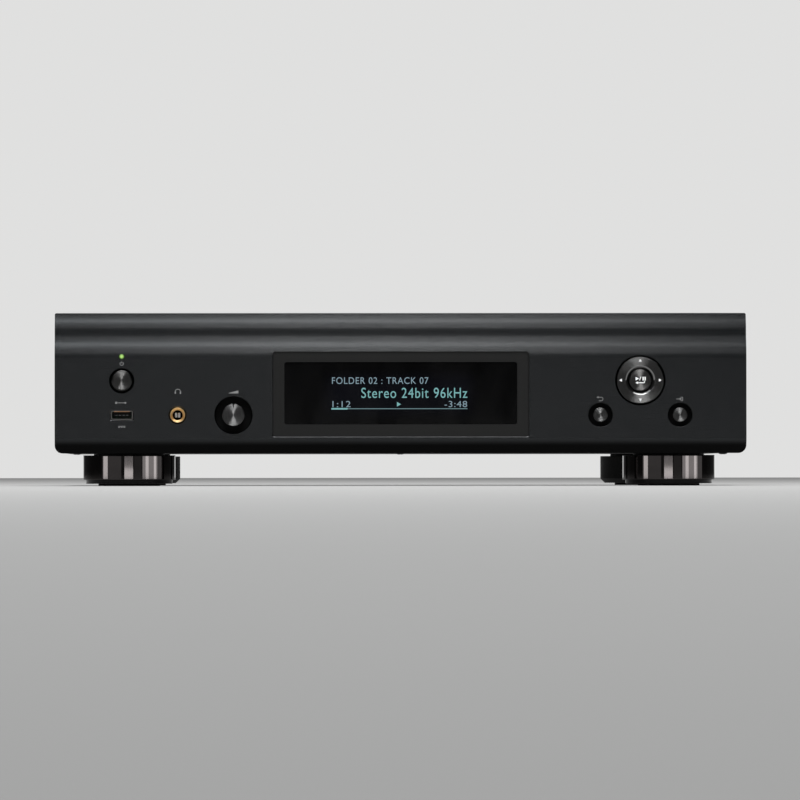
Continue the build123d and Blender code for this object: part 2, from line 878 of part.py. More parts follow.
# Flat data port: a folded metal shell with an insulating tongue in its upper half
flat_port_width = flat_port_hole_width - 2 * flat_port_fit
flat_port_height = flat_port_hole_height - 2 * flat_port_fit
with BuildPart() as flat_port_shell:
    with BuildSketch(upright(front_board_y)):
        with Locations((power_x, control_z)):
            RectangleRounded(flat_port_width, flat_port_height, flat_port_corner)
            RectangleRounded(
                flat_port_width - 2 * flat_port_wall,
                flat_port_height - 2 * flat_port_wall,
                flat_port_corner - flat_port_wall,
                mode=Mode.SUBTRACT,
            )
    extrude(amount=front_board_y - face_y - flat_port_setback)
save(flat_port_shell, "flat_port_shell")

with BuildPart() as flat_port_tongue:
    tongue_top_z = control_z + flat_port_height / 2 - flat_port_wall - flat_port_tongue_drop
    with BuildSketch(upright(front_board_y)):
        with Locations((power_x, tongue_top_z - flat_port_tongue_thickness / 2)):
            Rectangle(flat_port_tongue_width, flat_port_tongue_thickness)
    extrude(amount=front_board_y - face_y - flat_port_tongue_setback)
save(flat_port_tongue, "flat_port_tongue")

# Places of the feet, the screws and what stands on the tray
foot_x = panel_width / 2 - foot_inset
front_foot_y = face_y + front_foot_setback
rear_foot_y = back_y - rear_foot_setback
front_feet = {"left": (-foot_x, front_foot_y), "right": (foot_x, front_foot_y)}
rear_feet = {"left": (-foot_x, rear_foot_y), "right": (foot_x, rear_foot_y)}
foot_places = [*front_feet.values(), *rear_feet.values()]
lip_y = back_y + seat_gap
cover_back_y = lip_y + cover_sheet
tray_mid_y = (tray_front_y + rear_in_y) / 2
cover_screw_y = [tray_mid_y + step * cover_screw_span / 2 for step in (-1, 0, 1)]
cover_screw_z = tray_z + cover_screw_rise
lip_screw_x = [step * (tray_half - lip_screw_inset) for step in (-1, 0, 1)]
lip_screw_z = cover_top_z - lip_screw_drop
rear_screw_end = tray_half - rear_screw_inset
rear_screw_pitch = 2 * rear_screw_end / (rear_screw_count - 1)
rear_screw_x = [-rear_screw_end + index * rear_screw_pitch for index in range(rear_screw_count)]
rear_screw_z = tray_z + rear_screw_rise
transformer_x = -panel_width / 2 + transformer_inset
transformer_y = panel_back_y + transformer_setback
board_back_y = rear_in_y - board_back_gap
network_left_x = network_board_offset - network_board_width / 2
network_board_x = (network_left_x, network_left_x + network_board_width)
supply_x = (-tray_in_half + board_side_gap, network_board_x[0] - board_gap)
supply_y = (transformer_y + transformer_radius + supply_board_margin, board_back_y)
audio_x = (network_board_x[1] + board_gap, tray_in_half - board_side_gap)
audio_y = (board_back_y - audio_board_length, board_back_y)
network_board_y = (board_back_y - network_board_length, board_back_y)
inlet_x = -panel_width / 2 + inlet_inset
inlet_z = tray_z + inlet_rise
phono_low_z = board_top_z + phono_low
phono_high_z = phono_low_z + phono_pitch
phono_outer_x = audio_x[1] - phono_inset
phono_inner_x = phono_outer_x - phono_spacing
coax_x = phono_inner_x - phono_spacing
network_x = network_board_x[0] + network_inset
square_port_x = network_x + port_pitch
video_port_x = square_port_x + port_pitch
analog_phonos = [(x, z) for x in (phono_outer_x, phono_inner_x) for z in (phono_low_z, phono_high_z)]
phono_places = analog_phonos + [(coax_x, phono_low_z)]
optical_outer_x = coax_x - optical_spacing
optical_places = {"inner": optical_outer_x - optical_pitch, "outer": optical_outer_x}
antenna_places = [(side * (tray_half - antenna_inset), cover_top_z - antenna_drop) for side in (-1, 1)]


def vent_slot():
    """A ventilation slot with cut corners, running front to back."""
    half_width, half_length = vent_width / 2, vent_length / 2
    corner = [(half_width, half_length - vent_corner), (half_width - vent_corner, half_length)]
    right = [(x, -y) for x, y in corner[::-1]] + corner
    return Polygon(*right, *[(-x, y) for x, y in right[::-1]])


def side_screw_cuts(half_width):
    """Cut the cover's side screw holes through both walls of a folded sheet."""
    with BuildSketch(Plane.YZ) as holes:
        with Locations(*[(y, cover_screw_z) for y in cover_screw_y]):
            eight_sided(screw_radius + screw_fit)
    extrude(holes.sketch, amount=half_width, both=True, mode=Mode.SUBTRACT)


# Bottom tray: a folded floor with side flanges and a low rear flange
with BuildPart() as chassis_tray:
    with BuildSketch(upright(rear_in_y)):
        with Locations((0, tray_z + tray_flange / 2)):
            skin = Rectangle(2 * tray_half, tray_flange)
        fillet(skin.vertices().group_by(Axis.Y)[0], tray_bend)
        with Locations((0, floor_z + tray_flange / 2)):
            Rectangle(2 * tray_in_half, tray_flange, mode=Mode.SUBTRACT)
    extrude(amount=rear_in_y - tray_front_y)
    with Locations((0, rear_in_y, floor_z)):
        Box(
            2 * tray_in_half,
            tray_sheet,
            rear_flange - tray_sheet,
            align=(Align.CENTER, Align.MAX, Align.MIN),
        )
    with BuildSketch(Plane.XY.offset(tray_z)):
        with Locations(*foot_places):
            eight_sided(foot_screw_radius + screw_fit)
        with Locations(*[(x, lug_y) for x in lug_places]):
            eight_sided(screw_radius + screw_fit)
        with Locations((transformer_x, transformer_y)):
            eight_sided(bolt_radius + screw_fit)
        with Locations((0, back_y - tray_vent_back)):
            with GridLocations(vent_pitch, vent_row_pitch, vent_count, 1):
                vent_slot()
    extrude(amount=tray_sheet, mode=Mode.SUBTRACT)
    side_screw_cuts(tray_half)
    with BuildSketch(upright(rear_in_y)):
        with Locations(*[(x, rear_screw_z) for x in rear_screw_x]):
            eight_sided(screw_radius + screw_fit)
    extrude(amount=tray_sheet, mode=Mode.SUBTRACT)
save(chassis_tray, "chassis_tray")

# Top cover: one folded sheet over both sides with a lip over the rear panel's upper edge
with BuildPart() as top_cover:
    cover_rise = cover_top_z - tray_z
    with BuildSketch(upright(cover_back_y)):
        with Locations((0, tray_z + cover_rise / 2)):
            skin = Rectangle(2 * cover_half, cover_rise)
        fillet(skin.vertices().group_by(Axis.Y)[-1], cover_bend)
        with Locations((0, tray_z + cover_rise / 2 - cover_sheet)):
            hollow = Rectangle(2 * (cover_half - cover_sheet), cover_rise, mode=Mode.PRIVATE)
        add(hollow, mode=Mode.SUBTRACT)
    extrude(amount=cover_back_y - tray_front_y)
    with Locations((0, cover_back_y, cover_top_z)):
        Box(
            2 * (cover_half - cover_bend),
            cover_sheet,
            cover_lip,
            align=(Align.CENTER, Align.MAX, Align.MAX),
        )
    with BuildSketch(Plane.XY.offset(cover_under_z)):
        with Locations(*[(side * cover_vent_offset, back_y - cover_vent_back) for side in (-1, 1)]):
            with GridLocations(vent_pitch, vent_row_pitch, vent_count, vent_rows):
                vent_slot()
    extrude(amount=cover_sheet, mode=Mode.SUBTRACT)
    side_screw_cuts(cover_half)
    with BuildSketch(upright(cover_back_y)):
        with Locations(*[(x, lip_screw_z) for x in lip_screw_x]):
            eight_sided(screw_radius + screw_fit)
    extrude(amount=cover_sheet, mode=Mode.SUBTRACT)
save(top_cover, "top_cover")

# Rear panel: a flat sheet with an opening for every socket
with BuildPart() as rear_panel:
    rear_rise = cover_under_z - edge_gap - tray_z
    with BuildSketch(upright(back_y)):
        with Locations((0, tray_z + rear_rise / 2)):
            Rectangle(2 * tray_half, rear_rise)
        with Locations(*phono_places):
            many_sided(phono_radius + phono_fit, inside=True, mode=Mode.SUBTRACT)
        with Locations(*antenna_places):
            many_sided(antenna_radius + antenna_fit, inside=True, mode=Mode.SUBTRACT)
        for x, width, height in (
            *[(x, optical_side, optical_side) for x in optical_places.values()],
            (square_port_x, square_port_width, square_port_height),
            (video_port_x, video_port_width, video_port_height),
            (network_x, network_width, network_height),
        ):
            with Locations((x, board_top_z + height / 2)):
                Rectangle(width + 2 * port_fit, height + 2 * port_fit, mode=Mode.SUBTRACT)
        with Locations((inlet_x, inlet_z)):
            Rectangle(inlet_body_width + 2 * port_fit, inlet_body_height + 2 * port_fit, mode=Mode.SUBTRACT)
        inlet_screws = [(inlet_x + side * inlet_screw_span / 2, inlet_z) for side in (-1, 1)]
    extrude(amount=rear_sheet)
    with BuildSketch(upright(back_y)):
        with Locations(*inlet_screws):
            eight_sided(screw_radius + screw_fit)
        with Locations(*[(x, rear_screw_z) for x in rear_screw_x]):
            eight_sided(screw_radius + screw_fit)
        with Locations(*[(x, lip_screw_z) for x in lip_screw_x]):
            eight_sided(screw_radius + screw_fit)
    extrude(amount=rear_sheet, mode=Mode.SUBTRACT)
save(rear_panel, "rear_panel")


def screw(radius, length, head_radius, head):
    """A pan-head screw pointing down from the origin."""
    with BuildPart() as fastener:
        with BuildSketch(Plane.XY):
            eight_sided(head_radius)
        extrude(amount=head)
        with BuildSketch(Plane.XY):
            eight_sided(radius)
        extrude(amount=-length)
    return fastener.part


small_screw = screw(screw_radius, screw_length, screw_head_radius, screw_head)

with BuildPart() as cover_screws:
    for side in (-1, 1):
        for y in cover_screw_y:
            with Locations(Plane(origin=(side * cover_half, y, cover_screw_z), z_dir=(side, 0, 0))):
                add(small_screw)
    with Locations(*[rear_at(x, lip_screw_z, cover_back_y) for x in lip_screw_x]):
        add(small_screw)
save(cover_screws, "cover_screws")

with BuildPart() as rear_screws:
    with Locations(*[rear_at(x, rear_screw_z, back_y) for x in rear_screw_x]):
        add(small_screw)
    with Locations(*[rear_at(x, z, back_y + inlet_flange) for x, z in inlet_screws]):
        add(small_screw)
save(rear_screws, "rear_screws")

with BuildPart() as base_screws:
    with Locations(*[Plane(origin=(x, lug_y, tray_z), z_dir=(0, 0, -1)) for x in lug_places]):
        add(small_screw)
save(base_screws, "base_screws")

with BuildPart() as panel_screws:
    with Locations(*[rear_at(x, z, subframe_back_y) for x, z in panel_screw_places]):
        add(small_screw)
save(panel_screws, "panel_screws")

# Feet: a stepped body under the tray, a polished sleeve round each front one, and pads below
foot_top_z = foot_height - foot_hub
foot_step_z = pad_proud + foot_step
foot_web_z = foot_height - foot_web
foot_core_radius = foot_radius - trim_wall - trim_fit
front_foot_outline = [
    (0, foot_top_z),
    (foot_core_radius, foot_top_z),
    (foot_core_radius, foot_step_z),
    (foot_step_radius, foot_step_z),
    (foot_step_radius, pad_proud),
    (0, pad_proud),
]
rear_foot_outline = [
    (0, foot_top_z),
    (foot_radius, foot_top_z),
    (foot_radius, pad_proud + rear_foot_chamfer),
    (foot_radius - rear_foot_chamfer, pad_proud),
    (0, pad_proud),
]
trim_bore = foot_radius - trim_wall
trim_outline = [
    (trim_bore, foot_step_z),
    (foot_radius, foot_step_z),
    (foot_radius, foot_top_z),
    (trim_bore, foot_top_z),
]


def foot_body(outline, x, y):
    """A turned foot with a hub under the tray, a screw well below and a web between them."""
    with BuildPart() as foot:
        turned_up(outline, x, y)
        with BuildSketch(Plane.XY.offset(foot_top_z)):
            with Locations((x, y)):
                many_sided(foot_hub_radius)
        extrude(amount=foot_hub)
        with BuildSketch(Plane.XY.offset(pad_proud)):
            with Locations((x, y)):
                many_sided(foot_well_radius)
        extrude(amount=foot_web_z - pad_proud, mode=Mode.SUBTRACT)
        with BuildSketch(Plane.XY.offset(foot_web_z)):
            with Locations((x, y)):
                eight_sided(foot_screw_radius + screw_fit)
        extrude(amount=foot_web, mode=Mode.SUBTRACT)
    return foot


for side, (x, y) in front_feet.items():
    save(foot_body(front_foot_outline, x, y), f"front_foot_{side}")
    with BuildPart() as front_foot_trim:
        turned_up(trim_outline, x, y)
    save(front_foot_trim, f"front_foot_trim_{side}")

for side, (x, y) in rear_feet.items():
    save(foot_body(rear_foot_outline, x, y), f"rear_foot_{side}")

with BuildPart() as foot_pads:
    with BuildSketch(Plane.XY):
        with Locations(*foot_places):
            Circle(pad_radius)
            many_sided(pad_bore, mode=Mode.SUBTRACT)
    extrude(amount=pad_proud)
save(foot_pads, "foot_pads")

foot_screw_length = foot_web + tray_sheet + foot_screw_tail
foot_screw = screw(foot_screw_radius, foot_screw_length, foot_screw_head_radius, foot_screw_head)
with BuildPart() as foot_screws:
    with Locations(*[Plane(origin=(x, y, foot_web_z), z_dir=(0, 0, -1)) for x, y in foot_places]):
        add(foot_screw)
save(foot_screws, "foot_screws")

# Mains transformer: a potted ring in a can, held down by a dished washer and one bolt
transformer_top_z = floor_z + transformer_height
with BuildPart() as power_transformer:
    with BuildSketch(Plane.XY.offset(floor_z)):
        with Locations((transformer_x, transformer_y)):
            many_sided(transformer_radius)
    extrude(amount=transformer_height)
    chamfer(power_transformer.edges().group_by(Axis.Z)[-1], transformer_edge)
    with BuildSketch(Plane.XY.offset(floor_z)):
        with Locations((transformer_x, transformer_y)):
            many_sided(transformer_bore)
    extrude(amount=transformer_height, mode=Mode.SUBTRACT)
save(power_transformer, "power_transformer")

with BuildPart() as transformer_bolt:
    with BuildSketch(Plane.XY.offset(transformer_top_z)):
        with Locations((transformer_x, transformer_y)):
            many_sided(washer_radius)
    extrude(amount=washer_thickness)
    with BuildSketch(Plane.XY.offset(transformer_top_z + washer_thickness)):
        with Locations((transformer_x, transformer_y)):
            RegularPolygon(bolt_head_radius, 6)
    extrude(amount=bolt_head)
    with BuildSketch(Plane.XY.offset(tray_z)):
        with Locations((transformer_x, transformer_y)):
            eight_sided(bolt_radius)
    extrude(amount=transformer_top_z - tray_z)
save(transformer_bolt, "transformer_bolt")

# Boards on standoffs above the tray
board_spans = {
    "power_supply_board": (supply_x, supply_y),
    "audio_board": (audio_x, audio_y),
    "network_board": (network_board_x, network_board_y),
}
for name, (span_x, span_y) in board_spans.items():
    with BuildPart() as board:
        with Locations((span_x[0], span_y[0], board_z)):
            Box(
                span_x[1] - span_x[0],
                span_y[1] - span_y[0],
                board_thickness,
                align=(Align.MIN, Align.MIN, Align.MIN),
            )
    save(board, name)

with BuildPart() as board_standoffs:
    with BuildSketch(Plane.XY.offset(floor_z)):
        for span_x, span_y in board_spans.values():
            with Locations(*[
                (x, y)
                for x in (span_x[0] + standoff_inset, span_x[1] - standoff_inset)
                for y in (span_y[0] + standoff_inset, span_y[1] - standoff_inset)
            ]):
                RegularPolygon(standoff_radius, 6)
    extrude(amount=standoff_height)
save(board_standoffs, "board_standoffs")

with BuildPart() as supply_capacitors:
    with BuildSketch(Plane.XY.offset(board_top_z)):
        with Locations((sum(supply_x) / 2, supply_y[0] + capacitor_setback)):
            with GridLocations(capacitor_pitch, capacitor_pitch, 2, 2):
                many_sided(capacitor_radius)
    extrude(amount=capacitor_height)
    chamfer(supply_capacitors.edges().group_by(Axis.Z)[-1], capacitor_edge)
save(supply_capacitors, "supply_capacitors")

with BuildPart() as heat_sink:
    sink_x = supply_x[1] - sink_margin
    sink_y = supply_y[1] - sink_margin - sink_length / 2
    fin_count = int(sink_length // sink_fin_pitch)
    with BuildSketch(Plane.XY.offset(board_top_z)):
        with Locations((sink_x - sink_base / 2, sink_y)):
            Rectangle(sink_base, sink_length)
        with Locations((sink_x - sink_base - sink_fin_reach / 2, sink_y)):
            with GridLocations(0, sink_fin_pitch, 1, fin_count):
                Rectangle(sink_fin_reach, sink_fin)
    extrude(amount=sink_height)
save(heat_sink, "heat_sink")

# Mains inlet: a flanged housing with a keyed recess and three pins
inlet_face_y = back_y + inlet_flange
inlet_floor_y = inlet_face_y - inlet_mouth_depth
inlet_back_y = back_y - inlet_body_depth
inlet_pins_at = [
    (inlet_x - inlet_pin_pitch / 2, inlet_z),
    (inlet_x, inlet_z + inlet_earth_rise),
    (inlet_x + inlet_pin_pitch / 2, inlet_z),
]
with BuildPart() as mains_inlet:
    with BuildSketch(upright(back_y)):
        with Locations((inlet_x, inlet_z)):
            Rectangle(inlet_body_width, inlet_body_height)
    extrude(amount=inlet_body_depth)
    with BuildSketch(upright(inlet_face_y)):
        with Locations((inlet_x, inlet_z)):
            RectangleRounded(inlet_flange_width, inlet_flange_height, inlet_flange_corner)
    extrude(amount=inlet_flange)
    with BuildSketch(upright(inlet_face_y)):
        with Locations((inlet_x, inlet_z)):
            recess = Rectangle(inlet_mouth_width, inlet_mouth_height)
        chamfer(recess.vertices().group_by(Axis.Y)[-1], inlet_mouth_slope)
    extrude(amount=inlet_mouth_depth, mode=Mode.SUBTRACT)
    with BuildSketch(upright(inlet_floor_y)):
        with Locations(*inlet_pins_at):
            Rectangle(inlet_pin_thickness + 2 * inlet_pin_fit, inlet_pin_width + 2 * inlet_pin_fit)
    extrude(amount=inlet_floor_y - inlet_back_y, mode=Mode.SUBTRACT)
    with BuildSketch(upright(inlet_face_y)):
        with Locations(*inlet_screws):
            eight_sided(screw_radius + screw_fit)
    extrude(amount=inlet_flange, mode=Mode.SUBTRACT)
save(mains_inlet, "mains_inlet")

with BuildPart() as inlet_pins:
    pin_tip_y = inlet_floor_y + inlet_pin_length
    with BuildSketch(upright(pin_tip_y)):
        with Locations(*inlet_pins_at):
            Rectangle(inlet_pin_thickness, inlet_pin_width)
    extrude(amount=pin_tip_y - inlet_back_y + inlet_pin_tail)
save(inlet_pins, "inlet_pins")

# Phono sockets: plated shells through the rear panel, with insulating blocks behind that fill them
with BuildPart() as phono_shells:
    with BuildSketch(upright(back_y + phono_reach)):
        with Locations(*phono_places):
            Circle(phono_radius)
    extrude(amount=back_y + phono_reach - rear_in_y)
    with BuildSketch(upright(back_y + phono_collar)):
        with Locations(*phono_places):
            RegularPolygon(phono_collar_radius, 6)
    extrude(amount=phono_collar)
    with BuildSketch(upright(back_y + phono_reach)):
        with Locations(*phono_places):
            many_sided(phono_bore)
    extrude(amount=back_y + phono_reach - rear_in_y, mode=Mode.SUBTRACT)
save(phono_shells, "phono_shells")

with BuildPart() as phono_blocks:
    block_low_rise = phono_low_z + phono_block_side / 2 - board_top_z
    block_high_rise = block_low_rise + phono_pitch
    for x, rise in (
        (phono_outer_x, block_high_rise),
        (phono_inner_x, block_high_rise),
        (coax_x, block_low_rise),
    ):
        with Locations((x, rear_in_y, board_top_z)):
            Box(phono_block_side, phono_block_depth, rise, align=(Align.CENTER, Align.MAX, Align.MIN))
    core_front_y = back_y + phono_core_reach
    with BuildSketch(upright(core_front_y)):
        with Locations(*phono_places):
            many_sided(phono_core_radius)
    extrude(amount=core_front_y - rear_in_y)
    with BuildSketch(upright(core_front_y)):
        with Locations(*phono_places):
            eight_sided(phono_pin_bore)
    extrude(amount=core_front_y - rear_in_y + phono_block_depth / 2, mode=Mode.SUBTRACT)
save(phono_blocks, "phono_blocks")

# Optical sockets: square housings whose mouths are closed by sprung shutters on top pins
optical_face_y = back_y + optical_proud
optical_z = board_top_z + optical_side / 2
mouth_top_z = optical_z + optical_mouth_height / 2
mouth_low_z = optical_z - optical_mouth_height / 2
shutter_pin_z = mouth_top_z - shutter_gap - shutter_pin_radius
shutter_pin_y = optical_face_y - shutter_setback - shutter_pin_radius
shutter_width = optical_mouth_width - 2 * shutter_gap
shutter_pin_length = optical_mouth_width + 2 * shutter_pin_hold
with BuildPart() as optical_sockets:
    with BuildSketch(upright(optical_face_y)):
        with Locations(*[(x, optical_z) for x in optical_places.values()]):
            Rectangle(optical_side, optical_side)
    extrude(amount=optical_depth)
    with BuildSketch(upright(optical_face_y)):
        with Locations(*[(x, optical_z) for x in optical_places.values()]):
            Rectangle(optical_mouth_width, optical_mouth_height)
    extrude(amount=optical_mouth_depth, mode=Mode.SUBTRACT)
    for x in optical_places.values():
        with BuildSketch(Plane.YZ.offset(x)):
            with Locations((shutter_pin_y, shutter_pin_z)):
                RegularPolygon(shutter_pin_radius + shutter_pin_fit, 8, major_radius=False)
        extrude(amount=shutter_pin_length / 2 + shutter_gap, both=True, mode=Mode.SUBTRACT)
save(optical_sockets, "optical_sockets")

for side, x in optical_places.items():
    with BuildPart() as shutter:
        with Locations((x, shutter_pin_y, shutter_pin_z)):
            Cylinder(shutter_pin_radius, shutter_pin_length, rotation=(0, 90, 0))
            Box(
                shutter_width,
                shutter_thickness,
                shutter_pin_z - mouth_low_z - shutter_gap,
                align=(Align.CENTER, Align.CENTER, Align.MAX),
            )
    save(shutter, f"optical_shutter_{side}")

# Network, square data and video ports on the network board
port_face_y = back_y + port_proud
with BuildPart() as network_port:
    with BuildSketch(upright(port_face_y)):
        with Locations((network_x, board_top_z + network_height / 2)):
            Rectangle(network_width, network_height)
    extrude(amount=network_depth)
    with BuildSketch(upright(port_face_y)):
        with Locations((network_x, board_top_z + network_mouth_low + network_mouth_height / 2)):
            Rectangle(network_mouth_width, network_mouth_height)
    extrude(amount=network_mouth_depth, mode=Mode.SUBTRACT)
save(network_port, "network_port")

with BuildPart() as rear_port_shells:
    with BuildSketch(upright(port_face_y)):
        with Locations((square_port_x, board_top_z + square_port_height / 2)):
            Rectangle(square_port_width, square_port_height)
    extrude(amount=square_port_depth)
    with BuildSketch(upright(port_face_y)):
        with Locations((video_port_x, board_top_z + video_port_height / 2)):
            Rectangle(video_port_width, video_port_height)
    extrude(amount=video_port_depth)
    with BuildSketch(upright(port_face_y)):
        with Locations((square_port_x, board_top_z + square_port_height / 2)):
            Rectangle(square_port_mouth_width, square_port_mouth_height)
        with Locations((video_port_x, board_top_z + video_port_height / 2)):
            mouth = Rectangle(
                video_port_width - 2 * video_port_wall, video_port_height - 2 * video_port_wall
            )
        chamfer(mouth.vertices().group_by(Axis.Y)[0], video_port_slope)
    extrude(amount=port_mouth_depth, mode=Mode.SUBTRACT)
save(rear_port_shells, "rear_port_shells")

with BuildPart() as rear_port_tongues:
    tongue_face_y = port_face_y - port_tongue_setback
    with BuildSketch(upright(tongue_face_y)):
        with Locations((square_port_x, board_top_z + square_port_height / 2)):
            Rectangle(square_port_tongue_width, square_port_tongue_height)
        with Locations((video_port_x, board_top_z + video_port_height / 2)):
            Rectangle(video_port_tongue_width, video_port_tongue_height)
    extrude(amount=port_mouth_depth - port_tongue_setback)
save(rear_port_tongues, "rear_port_tongues")

# Antenna terminals: threaded stubs with hexagon seats at the upper corners
with BuildPart() as antenna_terminals:
    antenna_tip_y = back_y + antenna_reach
    with BuildSketch(upright(antenna_tip_y)):
        with Locations(*antenna_places):
            Circle(antenna_radius)
    extrude(amount=antenna_tip_y - rear_in_y)
    with BuildSketch(upright(back_y + antenna_nut)):
        with Locations(*antenna_places):
            RegularPolygon(antenna_nut_radius, 6)
    extrude(amount=antenna_nut)
    with BuildSketch(upright(rear_in_y)):
        with Locations(*antenna_places):
            eight_sided(antenna_body_radius)
    extrude(amount=antenna_body_depth)
    with BuildSketch(upright(antenna_tip_y)):
        with Locations(*antenna_places):
            eight_sided(antenna_bore)
    extrude(amount=antenna_bore_depth, mode=Mode.SUBTRACT)
save(antenna_terminals, "antenna_terminals")
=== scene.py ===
"""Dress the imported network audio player: finishes, turned pieces, printed marks, lit display."""

import logging
import math
from dataclasses import dataclass
from enum import Enum
from typing import Any, Callable, Iterable, Sequence

import bpy
from mathutils import Euler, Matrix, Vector


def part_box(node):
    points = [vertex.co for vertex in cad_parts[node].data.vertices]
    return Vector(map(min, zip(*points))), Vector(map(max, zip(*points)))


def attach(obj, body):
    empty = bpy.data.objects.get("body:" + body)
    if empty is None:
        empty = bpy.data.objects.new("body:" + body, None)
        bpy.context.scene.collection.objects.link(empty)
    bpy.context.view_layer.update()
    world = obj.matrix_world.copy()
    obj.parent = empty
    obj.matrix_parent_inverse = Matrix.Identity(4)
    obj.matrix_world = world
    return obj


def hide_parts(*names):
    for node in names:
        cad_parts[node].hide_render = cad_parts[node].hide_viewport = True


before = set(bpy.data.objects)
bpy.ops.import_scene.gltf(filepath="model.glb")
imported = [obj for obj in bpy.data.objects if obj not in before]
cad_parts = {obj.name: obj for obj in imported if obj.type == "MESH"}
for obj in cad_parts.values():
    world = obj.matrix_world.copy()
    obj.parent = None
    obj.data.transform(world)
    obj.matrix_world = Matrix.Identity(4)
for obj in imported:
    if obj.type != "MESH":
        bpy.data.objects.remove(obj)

LOG = logging.getLogger("player")
MM = 0.001
HAIR = 0.32
Point = tuple[float, float]
Triple = tuple[float, float, float]
Colour = Triple
Row = tuple[float, ...]
Piece = bpy.types.Object


class Body(Enum):
    """CAD bodies that pieces ride on."""

    CHASSIS = "chassis"
    POWER = "power_button"
    BACK = "back_button"
    SOURCE = "source_button"
    ENTER = "enter_button"
    CURSOR = "cursor_ring"
    VOLUME = "volume_knob"


class Slot(Enum):
    """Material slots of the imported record."""

    PANEL = "panel_black"
    CASE = "case_black"
    MOULDED = "moulded_black"
    BEZEL = "bezel_black"
    GLOSS = "gloss_black"
    DISPLAY = "display_black"
    SPUN = "spun_metal"
    DARK_SPUN = "dark_spun"
    CHROME = "dark_chrome"
    LED = "led_green"
    GILT = "gilt"
    STEEL = "bright_steel"
    SCREW = "black_screw"
    PAD = "pad_dark"


class Turn(Enum):
    """Axis that a turned piece is spun about."""

    DEPTH = (0.0, 1.0, 0.0)
    HEIGHT = (0.0, 0.0, 1.0)

    def spot(self, centre: Vector, radius: float, along: float) -> Vector:
        """Point of an outline in metres.

        Args:
            centre: A point on the axis, in millimetres.
            radius: Distance from the axis.
            along: Place along the axis.

        Returns:
            The point.
        """
        if self is Turn.DEPTH:
            return Vector((centre.x, along, centre.z + radius)) * MM
        return Vector((centre.x + radius, centre.y, along)) * MM


class Carve(Enum):
    """What a carving tool does to a piece."""

    AWAY = "DIFFERENCE"
    KEEP = "INTERSECT"


class Align(Enum):
    """Where a line of text is anchored."""

    LEFT = "LEFT"
    RIGHT = "RIGHT"


@dataclass(frozen=True)
class Seat:
    """Where a CAD node sits, in millimetres."""

    low: Vector
    high: Vector

    @classmethod
    def of(cls, node: str) -> "Seat":
        """Read a node's box from the frame."""
        low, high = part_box(node)
        return cls(low / MM, high / MM)

    @property
    def middle(self) -> Vector:
        """Centre of the box."""
        return (self.low + self.high) / 2

    @property
    def spot(self) -> Point:
        """Centre of the box across and up."""
        return self.middle.x, self.middle.z

    @property
    def ends(self) -> Point:
        """Depths of the box's front and back."""
        return self.low.y, self.high.y

    @property
    def radius(self) -> float:
        """Half of the box's width."""
        return (self.high.x - self.low.x) / 2

    def cap(self, edge: float) -> list[Point]:
        """Outline of a turned cap that fills the box.

        Args:
            edge: Width of its cut front edge, or 0 for a square one.

        Returns:
            Points as radius and depth.
        """
        radius, (front, back) = self.radius, self.ends
        rim = [(radius, front + edge), (radius - edge, front)] if edge else [(radius, front)]
        return [(0, back), (radius, back), *rim, (0, front)]


@dataclass
class Trace:
    """A flat chain of points drawn by straight runs and arcs."""

    points: list[Point]
    heading: float

    def arc(self, radius: float, turn: float, steps: int) -> None:
        """Go round an arc from the last point.

        Args:
            radius: Radius of the arc.
            turn: Angle in degrees, to the left if positive.
            steps: Number of chords.
        """
        across, up = self.points[-1]
        reach = math.copysign(radius, turn)
        start = math.radians(self.heading)
        hub = (across - reach * math.sin(start), up + reach * math.cos(start))
        for step in range(1, steps + 1):
            at = start + math.radians(turn) * step / steps
            self.to(hub[0] + reach * math.sin(at), hub[1] - reach * math.cos(at))
        self.heading += turn

    def to(self, across: float, up: float) -> None:
        """Run straight to a point."""
        self.points.append((across, up))


def rounded(width: float, height: float, low: float, top: float, steps: int = 6) -> list[Point]:
    """Outline of a rectangle about the origin with rounded corners.

    Args:
        width: Full width.
        height: Full height.
        low: Radius of the two lower corners.
        top: Radius of the two upper corners.
        steps: Chords in each corner.

    Returns:
        The outline's points, going round to the left.
    """
    right, upper = width / 2, height / 2
    trace = Trace([(-right + low, -upper), (right - low, -upper)], 0.0)
    trace.arc(low, 90, steps)
    trace.to(right, upper - top)
    trace.arc(top, 90, steps)
    trace.to(-right + top, upper)
    trace.arc(top, 90, steps)
    trace.to(-right, -upper + low)
    trace.arc(low, 90, steps)
    return trace.points[:-1]


def oblong(width: float, height: float) -> list[Point]:
    """Corners of a rectangle about the origin."""
    right, upper = width / 2, height / 2
    return [(-right, -upper), (right, -upper), (right, upper), (-right, upper)]


def spokes(radius: float, count: int, start: float = 0.0) -> list[Point]:
    """Points set evenly round the origin, the first at an angle in degrees."""
    turns = [math.radians(start + 360 * step / count) for step in range(count)]
    return [(radius * math.cos(turn), radius * math.sin(turn)) for turn in turns]


def sector(inner: float, outer: float, start: float, sweep: float, steps: int = 24) -> list[Point]:
    """Outline of a ring's sector about the origin.

    Args:
        inner: Inner radius.
        outer: Outer radius.
        start: Angle in degrees where it starts, from the right and to the left.
        sweep: Angle in degrees that it covers.
        steps: Chords in each arc.

    Returns:
        The outline's points.
    """
    angles = [math.radians(start + sweep * step / steps) for step in range(steps + 1)]
    outside = [(outer * math.cos(at), outer * math.sin(at)) for at in angles]
    inside = [(inner * math.cos(at), inner * math.sin(at)) for at in reversed(angles)]
    return outside + inside


